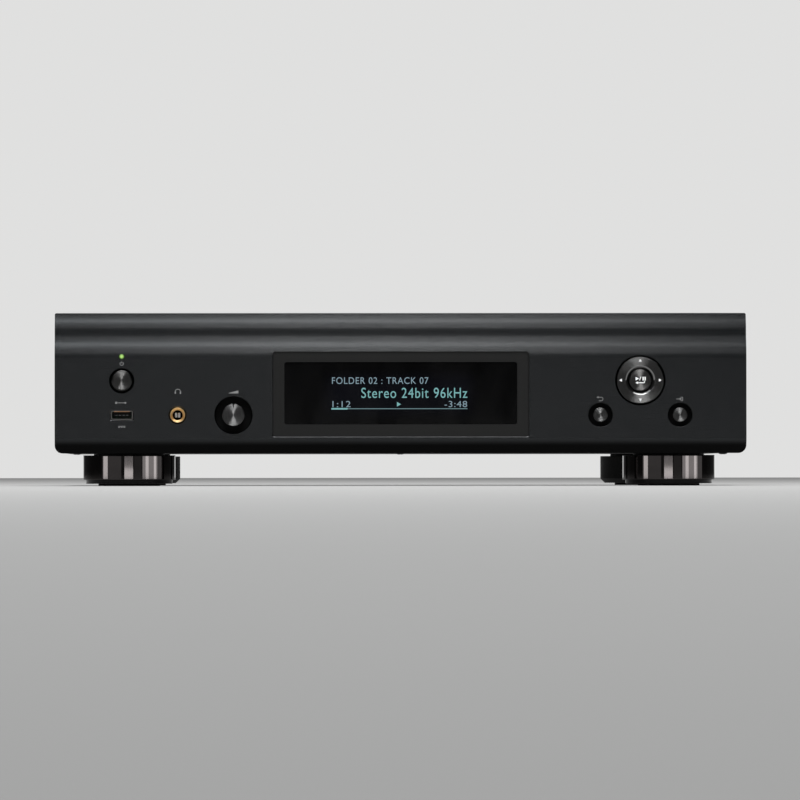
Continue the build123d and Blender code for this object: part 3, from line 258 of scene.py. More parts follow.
class Work:
    """A piece on the bench, shaped with operators; each step hands the work on."""

    def __init__(self, name: str, piece: Piece) -> None:
        """Take up a piece under a name."""
        self.piece = piece
        piece.name = piece.data.name = name

    @staticmethod
    def clear() -> None:
        """Leave edit mode and let go of everything."""
        if bpy.context.mode != "OBJECT":
            bpy.ops.object.mode_set(mode="OBJECT")
        bpy.ops.object.select_all(action="DESELECT")

    @classmethod
    def chain(cls, name: str, points: Sequence[Vector]) -> "Work":
        """Draw a chain of edges by extruding one vertex, and stay in edit mode with all selected.

        Args:
            name: Name of the new piece.
            points: Places along the chain, in metres.

        Returns:
            The chain.
        """
        cls.clear()
        bpy.ops.mesh.primitive_plane_add(size=MM, location=points[0])
        work = cls(name, bpy.context.active_object)
        bpy.ops.object.mode_set(mode="EDIT")
        bpy.ops.mesh.select_mode(type="VERT")
        bpy.ops.mesh.select_all(action="SELECT")
        bpy.ops.mesh.merge(type="CENTER")
        for here, there in zip(points, points[1:]):
            step = {"value": tuple(there - here)}
            bpy.ops.mesh.extrude_vertices_move(TRANSFORM_OT_translate=step)
        bpy.ops.mesh.select_all(action="SELECT")
        return work

    @classmethod
    def lathe(cls, name: str, outline: Iterable[Point], centre: Vector, steps: int = 96,
              turn: Turn = Turn.DEPTH) -> "Work":
        """Spin an outline into a turned piece.

        Args:
            name: Name of the new piece.
            outline: Points as radius and place along the axis, in millimetres.
            centre: A point on the axis, in millimetres.
            steps: Facets round the axis.
            turn: The axis.

        Returns:
            The turned piece.
        """
        work = cls.chain(name, [turn.spot(centre, radius, along) for radius, along in outline])
        hub = turn.spot(centre, 0, 0)
        bpy.ops.mesh.spin(steps=steps, angle=math.tau, center=hub, axis=turn.value)
        return work.close()

    @classmethod
    def prism(cls, name: str, outline: Sequence[Vector], run: Vector) -> "Work":
        """Fill a closed outline and extrude it.

        Args:
            name: Name of the new piece.
            outline: Corners of the outline, in metres.
            run: How far it is extruded, in metres.

        Returns:
            The prism.
        """
        work = cls.chain(name, [*outline, outline[0]])
        bpy.ops.mesh.remove_doubles(threshold=1e-7)
        bpy.ops.mesh.edge_face_add()
        bpy.ops.mesh.extrude_region_move(TRANSFORM_OT_translate={"value": tuple(run)})
        return work.close()

    @classmethod
    def upright(cls, name: str, outline: Iterable[Point], centre: Point, front: float,
                back: float) -> "Work":
        """Make a prism that runs from front to back.

        Args:
            name: Name of the new piece.
            outline: Points across and up, in millimetres.
            centre: Place of the outline's origin across and up.
            front: Depth of its front end.
            back: Depth of its back end.

        Returns:
            The prism.
        """
        points = [Vector((centre[0] + x, front, centre[1] + z)) * MM for x, z in outline]
        return cls.prism(name, points, Vector((0, back - front, 0)) * MM)

    @classmethod
    def softened(cls, node: str, width: float) -> "Work":
        """Copy a CAD node's mesh, merge it, ease its edges and shade it smooth.

        Args:
            node: The CAD node.
            width: Width of the eased edges in millimetres, or 0 for none.

        Returns:
            The copy.
        """
        name = f"{node}_smooth"
        piece = bpy.data.objects.new(name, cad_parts[node].data.copy())
        bpy.context.scene.collection.objects.link(piece)
        work = cls(name, piece).hold()
        bpy.ops.object.mode_set(mode="EDIT")
        bpy.ops.mesh.select_all(action="SELECT")
        bpy.ops.mesh.remove_doubles(threshold=1e-6)
        bpy.ops.mesh.dissolve_limited(angle_limit=math.radians(0.5))
        work.hold()
        if width:
            work.ease(width, 40)
        return work.smooth()

    @classmethod
    def words(cls, text: str, size: float, width: float, anchor: Triple, align: Align) -> "Work":
        """Set a line of text as a thin mesh facing the front.

        Args:
            text: What it says.
            size: Size of the type in millimetres.
            width: Length that the line is fitted to.
            anchor: Place of its baseline's anchor.
            align: Which end of the line is anchored.

        Returns:
            The mesh.
        """
        cls.clear()
        bpy.ops.object.text_add(rotation=(math.pi / 2, 0, 0), location=Vector(anchor) * MM)
        line = bpy.context.active_object.data
        line.body, line.size, line.space_character = text, size * MM, 1.12
        line.align_x, line.extrude = align.value, 0.02 * MM
        bpy.ops.object.convert(target="MESH")
        work = cls("words", bpy.context.active_object)
        work.piece.scale = (width * MM / work.piece.dimensions.x, 1, 1)
        return work.settle()

    @classmethod
    def join(cls, name: str, works: Sequence["Work"]) -> "Work":
        """Join works into one.

        Args:
            name: Name of the joined piece.
            works: What is joined, into the last one.

        Returns:
            The joined work.
        """
        last = works[-1].hold()
        for work in works:
            work.piece.select_set(True)
        if len(works) > 1:
            bpy.ops.object.join()
        return cls(name, last.piece)

    def hold(self) -> "Work":
        """Leave edit mode and select this piece alone.

        Returns:
            The work.
        """
        self.clear()
        self.piece.select_set(True)
        bpy.context.view_layer.objects.active = self.piece
        return self

    def settle(self) -> "Work":
        """Put the place, turn and scale of the held piece into its mesh."""
        bpy.ops.object.transform_apply(location=True, rotation=True, scale=True)
        return self

    def close(self) -> "Work":
        """Merge doubles and face the mesh outwards, then leave edit mode.

        Returns:
            The work.
        """
        bpy.ops.mesh.select_all(action="SELECT")
        bpy.ops.mesh.remove_doubles(threshold=1e-6)
        bpy.ops.mesh.normals_make_consistent(inside=False)
        return self.hold().settle()

    def flare(self, depth: float, centre: Point, grow: Point) -> "Work":
        """Widen the end of a prism.

        Args:
            depth: Depth of that end, in millimetres.
            centre: Place of the prism across and up.
            grow: Factors across and up.

        Returns:
            The work.
        """
        mesh = self.hold().piece.data
        for vertex in mesh.vertices:
            vertex.select = abs(vertex.co.y / MM - depth) < 0.01
        for part in (*mesh.edges, *mesh.polygons):
            part.select = all(mesh.vertices[corner].select for corner in part.vertices)
        bpy.ops.object.mode_set(mode="EDIT")
        middle = Vector((centre[0], depth, centre[1])) * MM
        bpy.ops.transform.resize(value=(grow[0], 1, grow[1]), center_override=middle)
        return self.hold()

    def modify(self, kind: str, **settings: Any) -> "Work":
        """Add a modifier and apply it.

        Args:
            kind: Type of the modifier.
            settings: Its settings.

        Returns:
            The work.
        """
        step = self.hold().piece.modifiers.new("step", kind)
        for key, value in settings.items():
            setattr(step, key, value)
        bpy.ops.object.modifier_apply(modifier=step.name)
        return self

    def carve(self, tool: "Work", how: Carve = Carve.AWAY) -> "Work":
        """Apply a boolean with a tool and remove the tool.

        Args:
            tool: What carves the piece.
            how: What it does.

        Returns:
            The work.
        """
        self.modify("BOOLEAN", operation=how.value, object=tool.piece, solver="EXACT")
        bpy.data.objects.remove(tool.piece)
        return self

    def ease(self, width: float, angle: float = 35.0) -> "Work":
        """Round the edges by a width in millimetres where they turn by an angle in degrees."""
        return self.modify("BEVEL", width=width * MM, segments=2, limit_method="ANGLE",
                           angle_limit=math.radians(angle))

    def smooth(self, angle: float = 30.0, weight: int = 50) -> "Work":
        """Shade round faces smooth.

        Args:
            angle: Edges that turn by more, in degrees, stay sharp.
            weight: How far large faces keep their own normals.

        Returns:
            The work.
        """
        self.hold()
        bpy.ops.object.shade_smooth_by_angle(angle=math.radians(angle))
        return self.modify("WEIGHTED_NORMAL", keep_sharp=True, weight=weight)

    def copy(self, name: str, shift: Sequence[float], turn: Euler | None = None) -> "Work":
        """Copy the piece with its own mesh.

        Args:
            name: Name of the copy.
            shift: How far it is moved, in millimetres.
            turn: How it is turned about the origin first.

        Returns:
            The copy.
        """
        self.hold()
        bpy.ops.object.duplicate(linked=False)
        twin = Work(name, bpy.context.active_object)
        twin.piece.rotation_euler = turn or Euler((0, 0, 0))
        twin.piece.location = Vector(shift) * MM
        return twin.settle()

    def spread(self, name: str, shifts: Iterable[Sequence[float]]) -> "Work":
        """Join the piece with copies of it, moved by shifts in millimetres."""
        return Work.join(name, [self, *[self.copy("twin", shift) for shift in shifts]])

    def dress(self, finish: "Finish", slot: Slot | None = None, *nodes: str,
              body: Body = Body.CHASSIS) -> "Work":
        """Lay a finish on the piece and tie it to the frame.

        Args:
            finish: Its finish.
            slot: The record's slot; not used.
            nodes: CAD nodes that it stands for.
            body: The body that it rides on.

        Returns:
            The work.
        """
        finish.lay(self.piece)
        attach(self.piece, body.value)
        if nodes:
            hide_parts(*nodes)
        faces = self.piece.data.polygons
        LOG.info("%s: %d faces, rides on %s", self.piece.name, len(faces), body.value)
        return self

    def patch(self, finish: "Finish", test: Callable[[bpy.types.MeshPolygon], bool]) -> None:
        """Lay a second finish on some faces.

        Args:
            finish: The second finish.
            test: Says which faces take it.
        """
        self.piece.data.materials.append(finish.material())
        for face in self.piece.data.polygons:
            face.material_index = int(test(face))


class Marks:
    """Thin printed marks on one depth; each row starts with a place across and up."""

    def __init__(self, depth: float, thickness: float = 0.04, origin: Point = (0, 0)) -> None:
        """Start with no marks.

        Args:
            depth: Depth of the printed face.
            thickness: Thickness of the ink, negative on a face that looks to the rear.
            origin: Where places are counted from.
        """
        self.depth, self.thickness, self.origin = depth, thickness, origin
        self.drawn: list[Work] = []

    def shape(self, spot: Point, outline: Iterable[Point]) -> None:
        """Print a filled outline.

        Args:
            spot: Place of the outline's own origin.
            outline: Its points.
        """
        centre = (self.origin[0] + spot[0], self.origin[1] + spot[1])
        front = self.depth - self.thickness
        self.drawn.append(Work.upright("mark", outline, centre, front, self.depth))

    def bars(self, *rows: Row) -> None:
        """Print bars: place, width and height."""
        for x, z, width, height in rows:
            self.shape((x, z), oblong(width, height))

    def arcs(self, *rows: Row) -> None:
        """Print parts of rings: place, radius, line, and start and sweep in degrees."""
        for x, z, radius, line, start, sweep in rows:
            self.shape((x, z), sector(radius - line / 2, radius + line / 2, start, sweep))

    def tips(self, *rows: Row) -> None:
        """Print triangles: place, size, and the way they point in degrees from the right."""
        for x, z, size, way in rows:
            self.shape((x, z), spokes(size, 3, way))

    def finish(self, name: str, ink: "Finish", body: Body = Body.CHASSIS) -> None:
        """Join the marks into one piece and lay its ink."""
        Work.join(name, self.drawn).dress(ink, body=body)


class Wire:
    """A value socket whose arithmetic adds Math nodes."""

    def __init__(self, sheet: "Sheet", socket: bpy.types.NodeSocket) -> None:
        """Keep the sheet and the socket."""
        self.sheet, self.socket = sheet, socket

    def maths(self, operation: str, first: Any, second: Any = 0.0) -> "Wire":
        """Add a Math node."""
        return self.sheet.node("Math", {0: first, 1: second}, operation=operation)

    def __add__(self, other: "Wire | float") -> "Wire":
        """Sum."""
        return self.maths("ADD", self, other)

    def __mul__(self, other: "Wire | float") -> "Wire":
        """Product."""
        return self.maths("MULTIPLY", self, other)

    def __sub__(self, other: "Wire | float") -> "Wire":
        """Difference."""
        return self.maths("SUBTRACT", self, other)

    def __rsub__(self, other: float) -> "Wire":
        """Difference the other way."""
        return self.maths("SUBTRACT", other, self)

    def sine(self) -> "Wire":
        """Sine of the value."""
        return self.maths("SINE", self)

    def at_least(self, other: "Wire") -> "Wire":
        """Larger of two values."""
        return self.maths("MAXIMUM", self, other)


class Sheet:
    """One material's nodes."""

    def __init__(self, name: str) -> None:
        """Start an empty material with an output.

        Args:
            name: Name of the material.
        """
        self.material = bpy.data.materials.new(name)
        self.material.use_nodes = True
        self.tree = self.material.node_tree
        self.tree.nodes.clear()
        self.output = self.tree.nodes.new("ShaderNodeOutputMaterial")

    def feed(self, socket: bpy.types.NodeSocket, value: Any) -> None:
        """Link or set a socket.

        Args:
            socket: The input.
            value: A wire to link, or the input's own value.
        """
        if isinstance(value, Wire):
            self.tree.links.new(value.socket, socket)
        elif isinstance(value, tuple) and len(value) == 3 and socket.type == "RGBA":
            socket.default_value = (*value, 1.0)
        else:
            socket.default_value = value

    def node(self, kind: str, sockets: dict[int | str, Any] | None = None, out: int | str = 0,
             **settings: Any) -> Wire:
        """Add a shader node.

        Args:
            kind: Its type, without the word that all types begin with.
            sockets: Values or wires of its inputs.
            out: Which output to hand on.
            settings: Its own settings, set first.

        Returns:
            The output as a wire.
        """
        made = self.tree.nodes.new(f"ShaderNode{kind}")
        for key, value in settings.items():
            setattr(made, key, value)
        for key, value in (sockets or {}).items():
            self.feed(made.inputs[key], value)
        return Wire(self, made.outputs[out])

    def place(self, scale: Triple = (1, 1, 1), shift: Triple = (0, 0, 0)) -> Wire:
        """Object coordinates, scaled and then shifted."""
        spot = self.node("TexCoord", out="Object")
        return self.node("Mapping", {"Vector": spot, "Scale": scale, "Location": shift})

    def part(self, axis: str) -> Wire:
        """One object coordinate in metres."""
        return self.node("SeparateXYZ", {0: self.place()}, axis)

    def noise(self, scale: Triple, detail: float = 2.0, roughness: float = 0.5) -> Wire:
        """Noise over object coordinates, at so many turns to the metre along each axis."""
        return self.node("TexNoise", {"Vector": self.place(scale), "Scale": 1.0, "Detail": detail,
                                      "Roughness": roughness}, "Fac")

    def reach(self, centre: Point) -> Wire:
        """Distance in metres from a front-to-back axis, given in millimetres."""
        flat = self.place((1, 0, 1), (-centre[0] * MM, 0, -centre[1] * MM))
        return self.node("VectorMath", {0: flat}, "Value", operation="LENGTH")

    def ramp(self, value: Wire, low: float, high: float) -> Wire:
        """Ease from 0 to 1 while a value in metres goes from low to high, in millimetres."""
        sockets = {"Value": value, "From Min": low * MM, "From Max": high * MM}
        return self.node("MapRange", sockets, interpolation_type="SMOOTHSTEP")

    def mix(self, factor: Wire, first: Colour, second: Colour) -> Wire:
        """Mix two colours."""
        return self.node("Mix", {0: factor, 6: first, 7: second}, 2, data_type="RGBA")

    def bump(self, height: Wire, distance: float, width: float = 1.0) -> Wire:
        """Turn a height into a normal; distance is in metres."""
        return self.node("Bump", {"Strength": 1.0, "Distance": distance, "Filter Width": width,
                                  "Height": height})

    def shader(self, **sockets: Any) -> Wire:
        """Add a principled shader; names use _ for a space."""
        named = {key.replace("_", " "): value for key, value in sockets.items()}
        return self.node("BsdfPrincipled", named)

    def end(self, shader: Wire) -> None:
        """End the sheet in a shader."""
        self.tree.links.new(shader.socket, self.output.inputs["Surface"])

    def surface(self, **sockets: Any) -> None:
        """End the sheet in one principled shader."""
        self.end(self.shader(**sockets))


@dataclass(frozen=True)
class Finish:
    """A finish between a dark and a light colour, mixed once and laid on pieces."""

    name: str
    dark: Colour
    light: Colour

    def draw(self, sheet: Sheet) -> None:
        """Draw the finish's nodes."""
        raise NotImplementedError

    def tone(self, sheet: Sheet, share: Wire) -> Wire:
        """Colour at a share of the way from dark to light."""
        return sheet.mix(share, self.dark, self.light)

    def material(self) -> bpy.types.Material:
        """Mix the finish at its first use.

        Returns:
            Its material.
        """
        found = bpy.data.materials.get(self.name)
        if found is None:
            sheet = Sheet(self.name)
            self.draw(sheet)
            found = sheet.material
        return found

    def lay(self, *pieces: Piece) -> None:
        """Lay the finish on pieces as their only material.

        Args:
            pieces: What is dressed.
        """
        for piece in pieces:
            piece.data.materials.clear()
            piece.data.materials.append(self.material())


@dataclass(frozen=True)
class Brushed(Finish):
    """Black anodised aluminium, brushed along the width, with painted shade, near black and matt,
    on its foot.
    """

    roughness: float
    shade_low: float = 25.2
    shade_high: float = 29.6
    shine: float = 0.40
    tint: Colour = (0.955, 0.98, 1.0)
    # Painted shade: near-black colours laid on the foot below the roll in place of its shadow.
    painted_shade_dark: Colour = (0.0010, 0.0010, 0.0010)
    painted_shade_light: Colour = (0.0020, 0.0020, 0.0020)

    def draw(self, sheet: Sheet) -> None:
        """Long fine streaks over uneven dye, fading between two heights into the painted shade on
        the foot.

        Args:
            sheet: The material's sheet.
        """
        fine = sheet.noise((80, 3600, 3600), 2.0, 0.6)
        broad = sheet.noise((45, 1000, 1000))
        cloud = sheet.noise((11, 11, 16))
        streak = fine * 0.75 + broad * 0.25
        tone = (streak - 0.5) * 1.6 + cloud
        face = sheet.shader(
            Base_Color=self.tone(sheet, tone),
            Roughness=(streak - 0.5) * 0.3 + self.roughness,
            Specular_IOR_Level=self.shine,
            Specular_Tint=self.tint,
            Normal=sheet.bump(streak, 0.03 * MM, 0.15),
        )
        # Painted shade: the foot is near black and almost without gloss, standing in for the shade
        # under the roll.
        foot = sheet.shader(
            Base_Color=sheet.mix(tone, self.painted_shade_dark, self.painted_shade_light),
            Roughness=0.6,
            Specular_IOR_Level=0.05,
        )
        # rise fades from the painted shade of the foot up to the brushed face.
        rise = sheet.ramp(sheet.part("Z"), self.shade_low, self.shade_high)
        sheet.end(sheet.node("MixShader", {0: rise, 1: foot, 2: face}))


@dataclass(frozen=True)
class Coated(Finish):
    """A coat or moulding with a fine grain."""

    grain: float
    depth: float
    roughness: float
    shine: float = 0.5

    def draw(self, sheet: Sheet) -> None:
        """Grain of a size in millimetres, speckled in colour and gloss.

        Args:
            sheet: The material's sheet.
        """
        rate = 1.0 / (self.grain * MM)
        grain = sheet.noise((rate, rate, rate), 2.0, 0.55)
        cloud = sheet.noise((18, 18, 18))
        sheet.surface(
            Base_Color=self.tone(sheet, grain * 0.6 + cloud * 0.4),
            Roughness=(cloud - 0.5) * 0.15 + self.roughness,
            Specular_IOR_Level=self.shine,
            Normal=sheet.bump(grain, self.depth * MM),
        )


@dataclass(frozen=True)
class Glossy(Finish):
    """A polished plastic with faint smears from handling."""

    roughness: float
    shine: float = 0.5

    def draw(self, sheet: Sheet, **glow: Any) -> None:
        """Uneven gloss over a deep colour.

        Args:
            sheet: The material's sheet.
            glow: Sockets for a glow of its own.
        """
        smear = sheet.noise((55, 55, 25), 3.0, 0.6)
        sheet.surface(
            Base_Color=self.tone(sheet, smear),
            Roughness=(smear - 0.4) * 0.12 + self.roughness,
            Specular_IOR_Level=self.shine,
            **glow,
        )


@dataclass(frozen=True)
class DisplayGlass(Glossy):
    """A black glass with the faint glow of the lit field behind it."""

    glow: Colour = (0.0012, 0.0014, 0.0030)
    across: Point = (-46.0, 44.0)
    up: Point = (46.0, 68.5)
    spill: float = 7.0

    def span(self, sheet: Sheet, axis: str, low: float, high: float) -> Wire:
        """Soft-edged stretch along an axis.

        Args:
            sheet: The material's sheet.
            axis: Letter of the axis.
            low: Where it starts, in millimetres.
            high: Where it ends.

        Returns:
            1 inside the stretch and 0 outside.
        """
        at, soft = sheet.part(axis), self.spill
        rise = sheet.ramp(at, low - soft, low + soft)
        return rise * (1 - sheet.ramp(at, high - soft, high + soft))

    def draw(self, sheet: Sheet, **glow: Any) -> None:
        """Uneven gloss, and a soft-edged field of glow.

        Args:
            sheet: The material's sheet.
            glow: Sockets for a glow of its own.
        """
        inside = self.span(sheet, "X", *self.across) * self.span(sheet, "Z", *self.up)
        lit = sheet.mix(inside, (0, 0, 0), self.glow)
        super().draw(sheet, Emission_Color=lit, Emission_Strength=1.0, **glow)


@dataclass(frozen=True)
class Plated(Finish):
    """Plated or bare metal."""

    roughness: float
    grain: float = 0.0
    bloom: float = 0.12

    def draw(self, sheet: Sheet) -> None:
        """Hazy metal, with drawn lines where it has a grain; bloom is how far the gloss varies.

        Args:
            sheet: The material's sheet.
        """
        haze = sheet.noise((160, 160, 160), 3.0, 0.6)
        drawn: dict[str, Any] = {}
        if self.grain:
            drawn["Normal"] = sheet.bump(sheet.noise((60, 2500, 2500), 1.0), self.grain * MM)
        sheet.surface(
            Base_Color=self.tone(sheet, haze),
            Metallic=1.0,
            Roughness=(haze - 0.5) * self.bloom + self.roughness,
            **drawn,
        )


@dataclass(frozen=True)
class Spun(Finish):
    """Metal faced on a lathe: fine rings about one control's axis."""

    centre: Point
    roughness: float = 0.22
    pitch: float = 0.40
    lean: float = 0.75

    def draw(self, sheet: Sheet) -> None:
        """Rings by the distance from the axis; lean is the slope of their flanks.

        Args:
            sheet: The material's sheet.
        """
        reach = sheet.reach(self.centre)
        turns = math.tau / (self.pitch * MM)
        ring = (reach * turns).sine()
        tone = ring * 0.2 + (reach * (turns * 0.37)).sine() * 0.2 + 0.5
        sheet.surface(
            Base_Color=self.tone(sheet, tone),
            Metallic=1.0,
            Roughness=(tone - 0.5) * 0.1 + self.roughness,
            Normal=sheet.bump(ring, self.lean / turns, 0.1),
        )


@dataclass(frozen=True)
class Lit(Finish):
    """A surface that glows."""

    def draw(self, sheet: Sheet) -> None:
        """Slightly uneven glow."""
        glow = self.tone(sheet, sheet.noise((900, 900, 900), 1.0))
        sheet.surface(Base_Color=(0.01, 0.01, 0.01), Roughness=0.5, Emission_Color=glow,
                      Emission_Strength=1.0)


@dataclass(frozen=True)
class Lamp(Finish):
    """A small lamp behind a tinted lens, light in its middle and dark at its rim."""

    centre: Point
    radius: float

    def draw(self, sheet: Sheet) -> None:
        """Glow that falls off towards the rim of the lens.

        Args:
            sheet: The material's sheet.
        """
        fall = sheet.ramp(sheet.reach(self.centre), self.radius * 0.35, self.radius)
        glow = sheet.mix(fall, self.light, self.dark)
        sheet.surface(Base_Color=(0.02, 0.05, 0.015), Roughness=0.25, Emission_Color=glow,
                      Emission_Strength=1.0)


@dataclass(frozen=True)
class Laminate(Finish):
    """A lacquered circuit board with tracks under the lacquer."""

    def draw(self, sheet: Sheet) -> None:
        """Tracks at two pitches under uneven lacquer.

        Args:
            sheet: The material's sheet.
        """
        course = {"Vector": sheet.place(), "Scale": 1.0, "Mortar Size": 0.0006,
                  "Brick Width": 0.017, "Row Height": 0.0023, "Color1": (0, 0, 0),
                  "Color2": (0.2, 0.2, 0.2), "Mortar": (1, 1, 1)}
        tracks = sheet.node("TexBrick", course, "Fac")
        cloud = sheet.noise((70, 70, 70))
        sheet.surface(
            Base_Color=self.tone(sheet, tracks * 0.7 + cloud * 0.3),
            Roughness=cloud * 0.2 + 0.3,
            Normal=sheet.bump(tracks, 0.03 * MM),
        )


def grey(level: float) -> Colour:
    """A neutral colour."""
    return level, level, level


PANEL_BLACK = Brushed("panel_black_brushed", (0.0012, 0.0015, 0.0018), (0.0040, 0.0046, 0.0052),
                      0.21)
CASE_BLACK = Coated("case_black_powder", (0.006, 0.006, 0.0063), (0.012, 0.012, 0.0125),
                    0.55, 0.05, 0.5)
MOULDED = Coated("moulded_black_grain", (0.0025, 0.0025, 0.0026), grey(0.006),
                 0.3, 0.015, 0.55, 0.3)
WELL = Coated("well_black_matt", grey(0.001), grey(0.0025), 0.3, 0.01, 0.65, 0.12)
BEZEL_BLACK = Coated("bezel_black_satin", (0.0056, 0.0056, 0.0055), (0.0094, 0.0094, 0.0092),
                     0.25, 0.006, 0.42, 0.24)
FOOT_GLOSS = Glossy("foot_black_gloss", (0.0010, 0.0010, 0.0011), grey(0.0022), 0.14, 0.16)
WINDOW = DisplayGlass("window_black_glass", (0.0008, 0.0008, 0.0009), (0.0018, 0.0018, 0.0019),
                      0.06, 0.10)
CHROME = Plated("sleeve_dark_chrome", (0.044, 0.040, 0.0395), (0.053, 0.0485, 0.048),
                0.02, bloom=0.02)
EDGE_CUT = Plated("panel_cut_edge", (0.055, 0.056, 0.058), (0.080, 0.081, 0.083), 0.22)
LIP_CHROME = Plated("cursor_lip_polished", grey(0.17), grey(0.25), 0.12, bloom=0.05)
GILT = Plated("socket_gilt", (0.78, 0.52, 0.20), (0.92, 0.68, 0.34), 0.2)
PALE_GILT = Plated("socket_pale_gilt", (0.78, 0.54, 0.25), (0.90, 0.68, 0.38), 0.32)
NICKEL = Plated("port_dark_nickel", (0.20, 0.196, 0.19), (0.30, 0.295, 0.285), 0.3)
COPPER = Plated("spring_copper", (0.52, 0.24, 0.11), (0.66, 0.33, 0.16), 0.3)
STEEL = Plated("bright_steel_drawn", (0.42, 0.42, 0.43), grey(0.62), 0.28, 0.01)
ALUMINIUM = Plated("bare_aluminium_drawn", (0.45, 0.46, 0.47), (0.62, 0.63, 0.64), 0.4, 0.015)
SCREW_BLACK = Plated("screw_black_zinc", (0.02, 0.02, 0.022), (0.05, 0.05, 0.052), 0.35)
PAD = Coated("pad_dark_felt", grey(0.008), (0.022, 0.021, 0.02), 0.5, 0.2, 0.95, 0.1)
BOARD = Laminate("board_green_lacquer", (0.006, 0.032, 0.012), (0.016, 0.085, 0.03))
TRANSFORMER = Coated("transformer_grey_tape", (0.06, 0.062, 0.066), (0.11, 0.112, 0.116),
                     1.6, 0.08, 0.5)
CAPACITOR = Glossy("capacitor_sleeve_film", (0.010, 0.014, 0.03), (0.018, 0.022, 0.045), 0.28)
INK = Coated("mark_grey_ink", grey(0.17), grey(0.25), 0.2, 0.004, 0.6)
WHITE_INK = Coated("mark_white_ink", grey(0.90), grey(0.97), 0.2, 0.004, 0.55)
RED_PLASTIC = Coated("insulator_red", (0.35, 0.012, 0.012), (0.50, 0.022, 0.02), 0.3, 0.006, 0.4)
WHITE_PLASTIC = Coated("insulator_white", (0.62, 0.62, 0.60), (0.78, 0.78, 0.76), 0.3, 0.006, 0.4)
ORANGE_PLASTIC = Coated("insulator_orange", (0.55, 0.14, 0.01), (0.70, 0.21, 0.02),
                        0.3, 0.006, 0.4)
GLYPH = Lit("display_teal_glow", (0.13, 0.34, 0.35), (0.18, 0.43, 0.43))
PALE_GLYPH = Lit("display_pale_glow", (0.15, 0.23, 0.28), (0.21, 0.31, 0.36))
DIM_GLYPH = Lit("display_dim_glow", (0.09, 0.17, 0.19), (0.12, 0.22, 0.24))


@dataclass
class FrontPanel:
    """The machined front with its waved top, rolled foot and control openings."""

    lean: float = 24.0
    rises: tuple[float, float, float, float] = (9.1, 7.8, 6.9, 4.9)
    wave_steps: int = 14
    bend_steps: int = 10
    roll_height: float = 9.2
    roll_radius: float = 6.8
    roll_angle: float = 40.0
    low_corner: float = 4.8
    top_corner: float = 1.0
    rim: float = 0.7
    rim_angle: float = 60.0
    crease: float = 25.0
    flare: float = 0.4
    past: float = 1.0
    cut_facing: Point = (-0.8, -0.6)
    round_holes: tuple[Triple, ...] = (
        (-175.0, 66.0, 7.6), (-140.0, 44.5, 5.3), (-105.0, 44.5, 11.6), (150.3, 66.2, 15.5),
        (125.3, 44.5, 7.45), (175.3, 44.5, 7.45), (-175.0, 81.25, 1.6),
    )
    slots: tuple[Row, ...] = ((0.0, 57.6, 160.6, 53.4, 1.4), (-175.0, 44.5, 14.2, 6.2, 0.8))

    def outline(self, seat: Seat) -> list[Point]:
        """Profile of the panel seen from its side.

        Args:
            seat: Where the panel sits.

        Returns:
            Points as depth and height.
        """
        (face, back), sole, top = seat.ends, seat.low.z, seat.high.z
        fall, slope = math.radians(self.roll_angle), math.sin(math.radians(self.lean))
        roll_rise = self.roll_height - self.roll_radius * math.sin(fall)
        roll_depth = face + self.roll_radius * (1 - math.cos(fall))
        sole_edge = roll_depth + roll_rise * math.tan(fall)
        start = [(back, sole), (sole_edge, sole), (roll_depth, sole + roll_rise)]
        trace = Trace(start, 90 + self.roll_angle)
        trace.arc(self.roll_radius, -self.roll_angle, self.bend_steps)
        trace.to(face, top - sum(self.rises))
        shoulder, valley, brow, crest = (rise / slope for rise in self.rises)
        trace.arc(shoulder, -self.lean, self.wave_steps)
        trace.arc(valley, self.lean, self.wave_steps)
        trace.arc(brow, -self.lean, self.wave_steps)
        last_lean = math.degrees(math.asin(slope - crest * slope / brow))
        trace.arc(brow, self.lean - last_lean, self.bend_steps)
        trace.to(back, top)
        return trace.points

    def build(self) -> None:
        """Extrude the profile, trim its corners and cut the openings."""
        seat = Seat.of("front_panel")
        (face, back), past = seat.ends, self.past
        width, height = seat.high.x - seat.low.x, seat.high.z - seat.low.z
        section = [Vector((seat.low.x, depth, up)) * MM for depth, up in self.outline(seat)]
        panel = Work.prism("front_panel_machined", section, Vector((width, 0, 0)) * MM)
        trim = rounded(width, height, self.low_corner, self.top_corner, self.bend_steps)
        panel.carve(Work.upright("trim", trim, seat.spot, face - past, back + past), Carve.KEEP)
        panel.ease(self.rim, self.rim_angle)
        grow = self.flare + past
        for x, z, radius in self.round_holes:
            tool = [(0, back + past), (radius, back + past), (radius, face + self.flare),
                    (radius + grow, face - past), (0, face - past)]
            panel.carve(Work.lathe("bore", tool, Vector((x, 0, z))))
        for x, z, across, up, corner in self.slots:
            shape, spot = rounded(across, up, corner, corner), (x, z)
            panel.carve(Work.upright("slot", shape, spot, face - past, back + past))
            rim = Work.upright("slot_rim", shape, spot, face + self.flare, face - past)
            wide = ((across + 2 * grow) / across, (up + 2 * grow) / up)
            panel.carve(rim.flare(face - past, spot, wide))
        panel.smooth(self.crease).dress(PANEL_BLACK, Slot.PANEL, "front_panel")
        edge, (low, high) = face + self.flare, self.cut_facing
        panel.patch(EDGE_CUT, lambda part: part.center.y / MM < edge and low < part.normal.y < high)


@dataclass
class PushButton:
    """A turned button cap with a spun face."""

    body: Body
    slot: Slot
    edge: float
    dark: Colour
    light: Colour
    soft: float = 0.12

    def build(self) -> None:
        """Turn the cap where the CAD cap sits."""
        node = f"{self.body.value}_cap"
        seat = Seat.of(node)
        cap = Work.lathe(f"{node}_turned", seat.cap(self.edge), seat.middle)
        cap.ease(self.soft).smooth()
        finish = Spun(f"{node}_spun", self.dark, self.light, seat.spot)
        cap.dress(finish, self.slot, node, body=self.body)


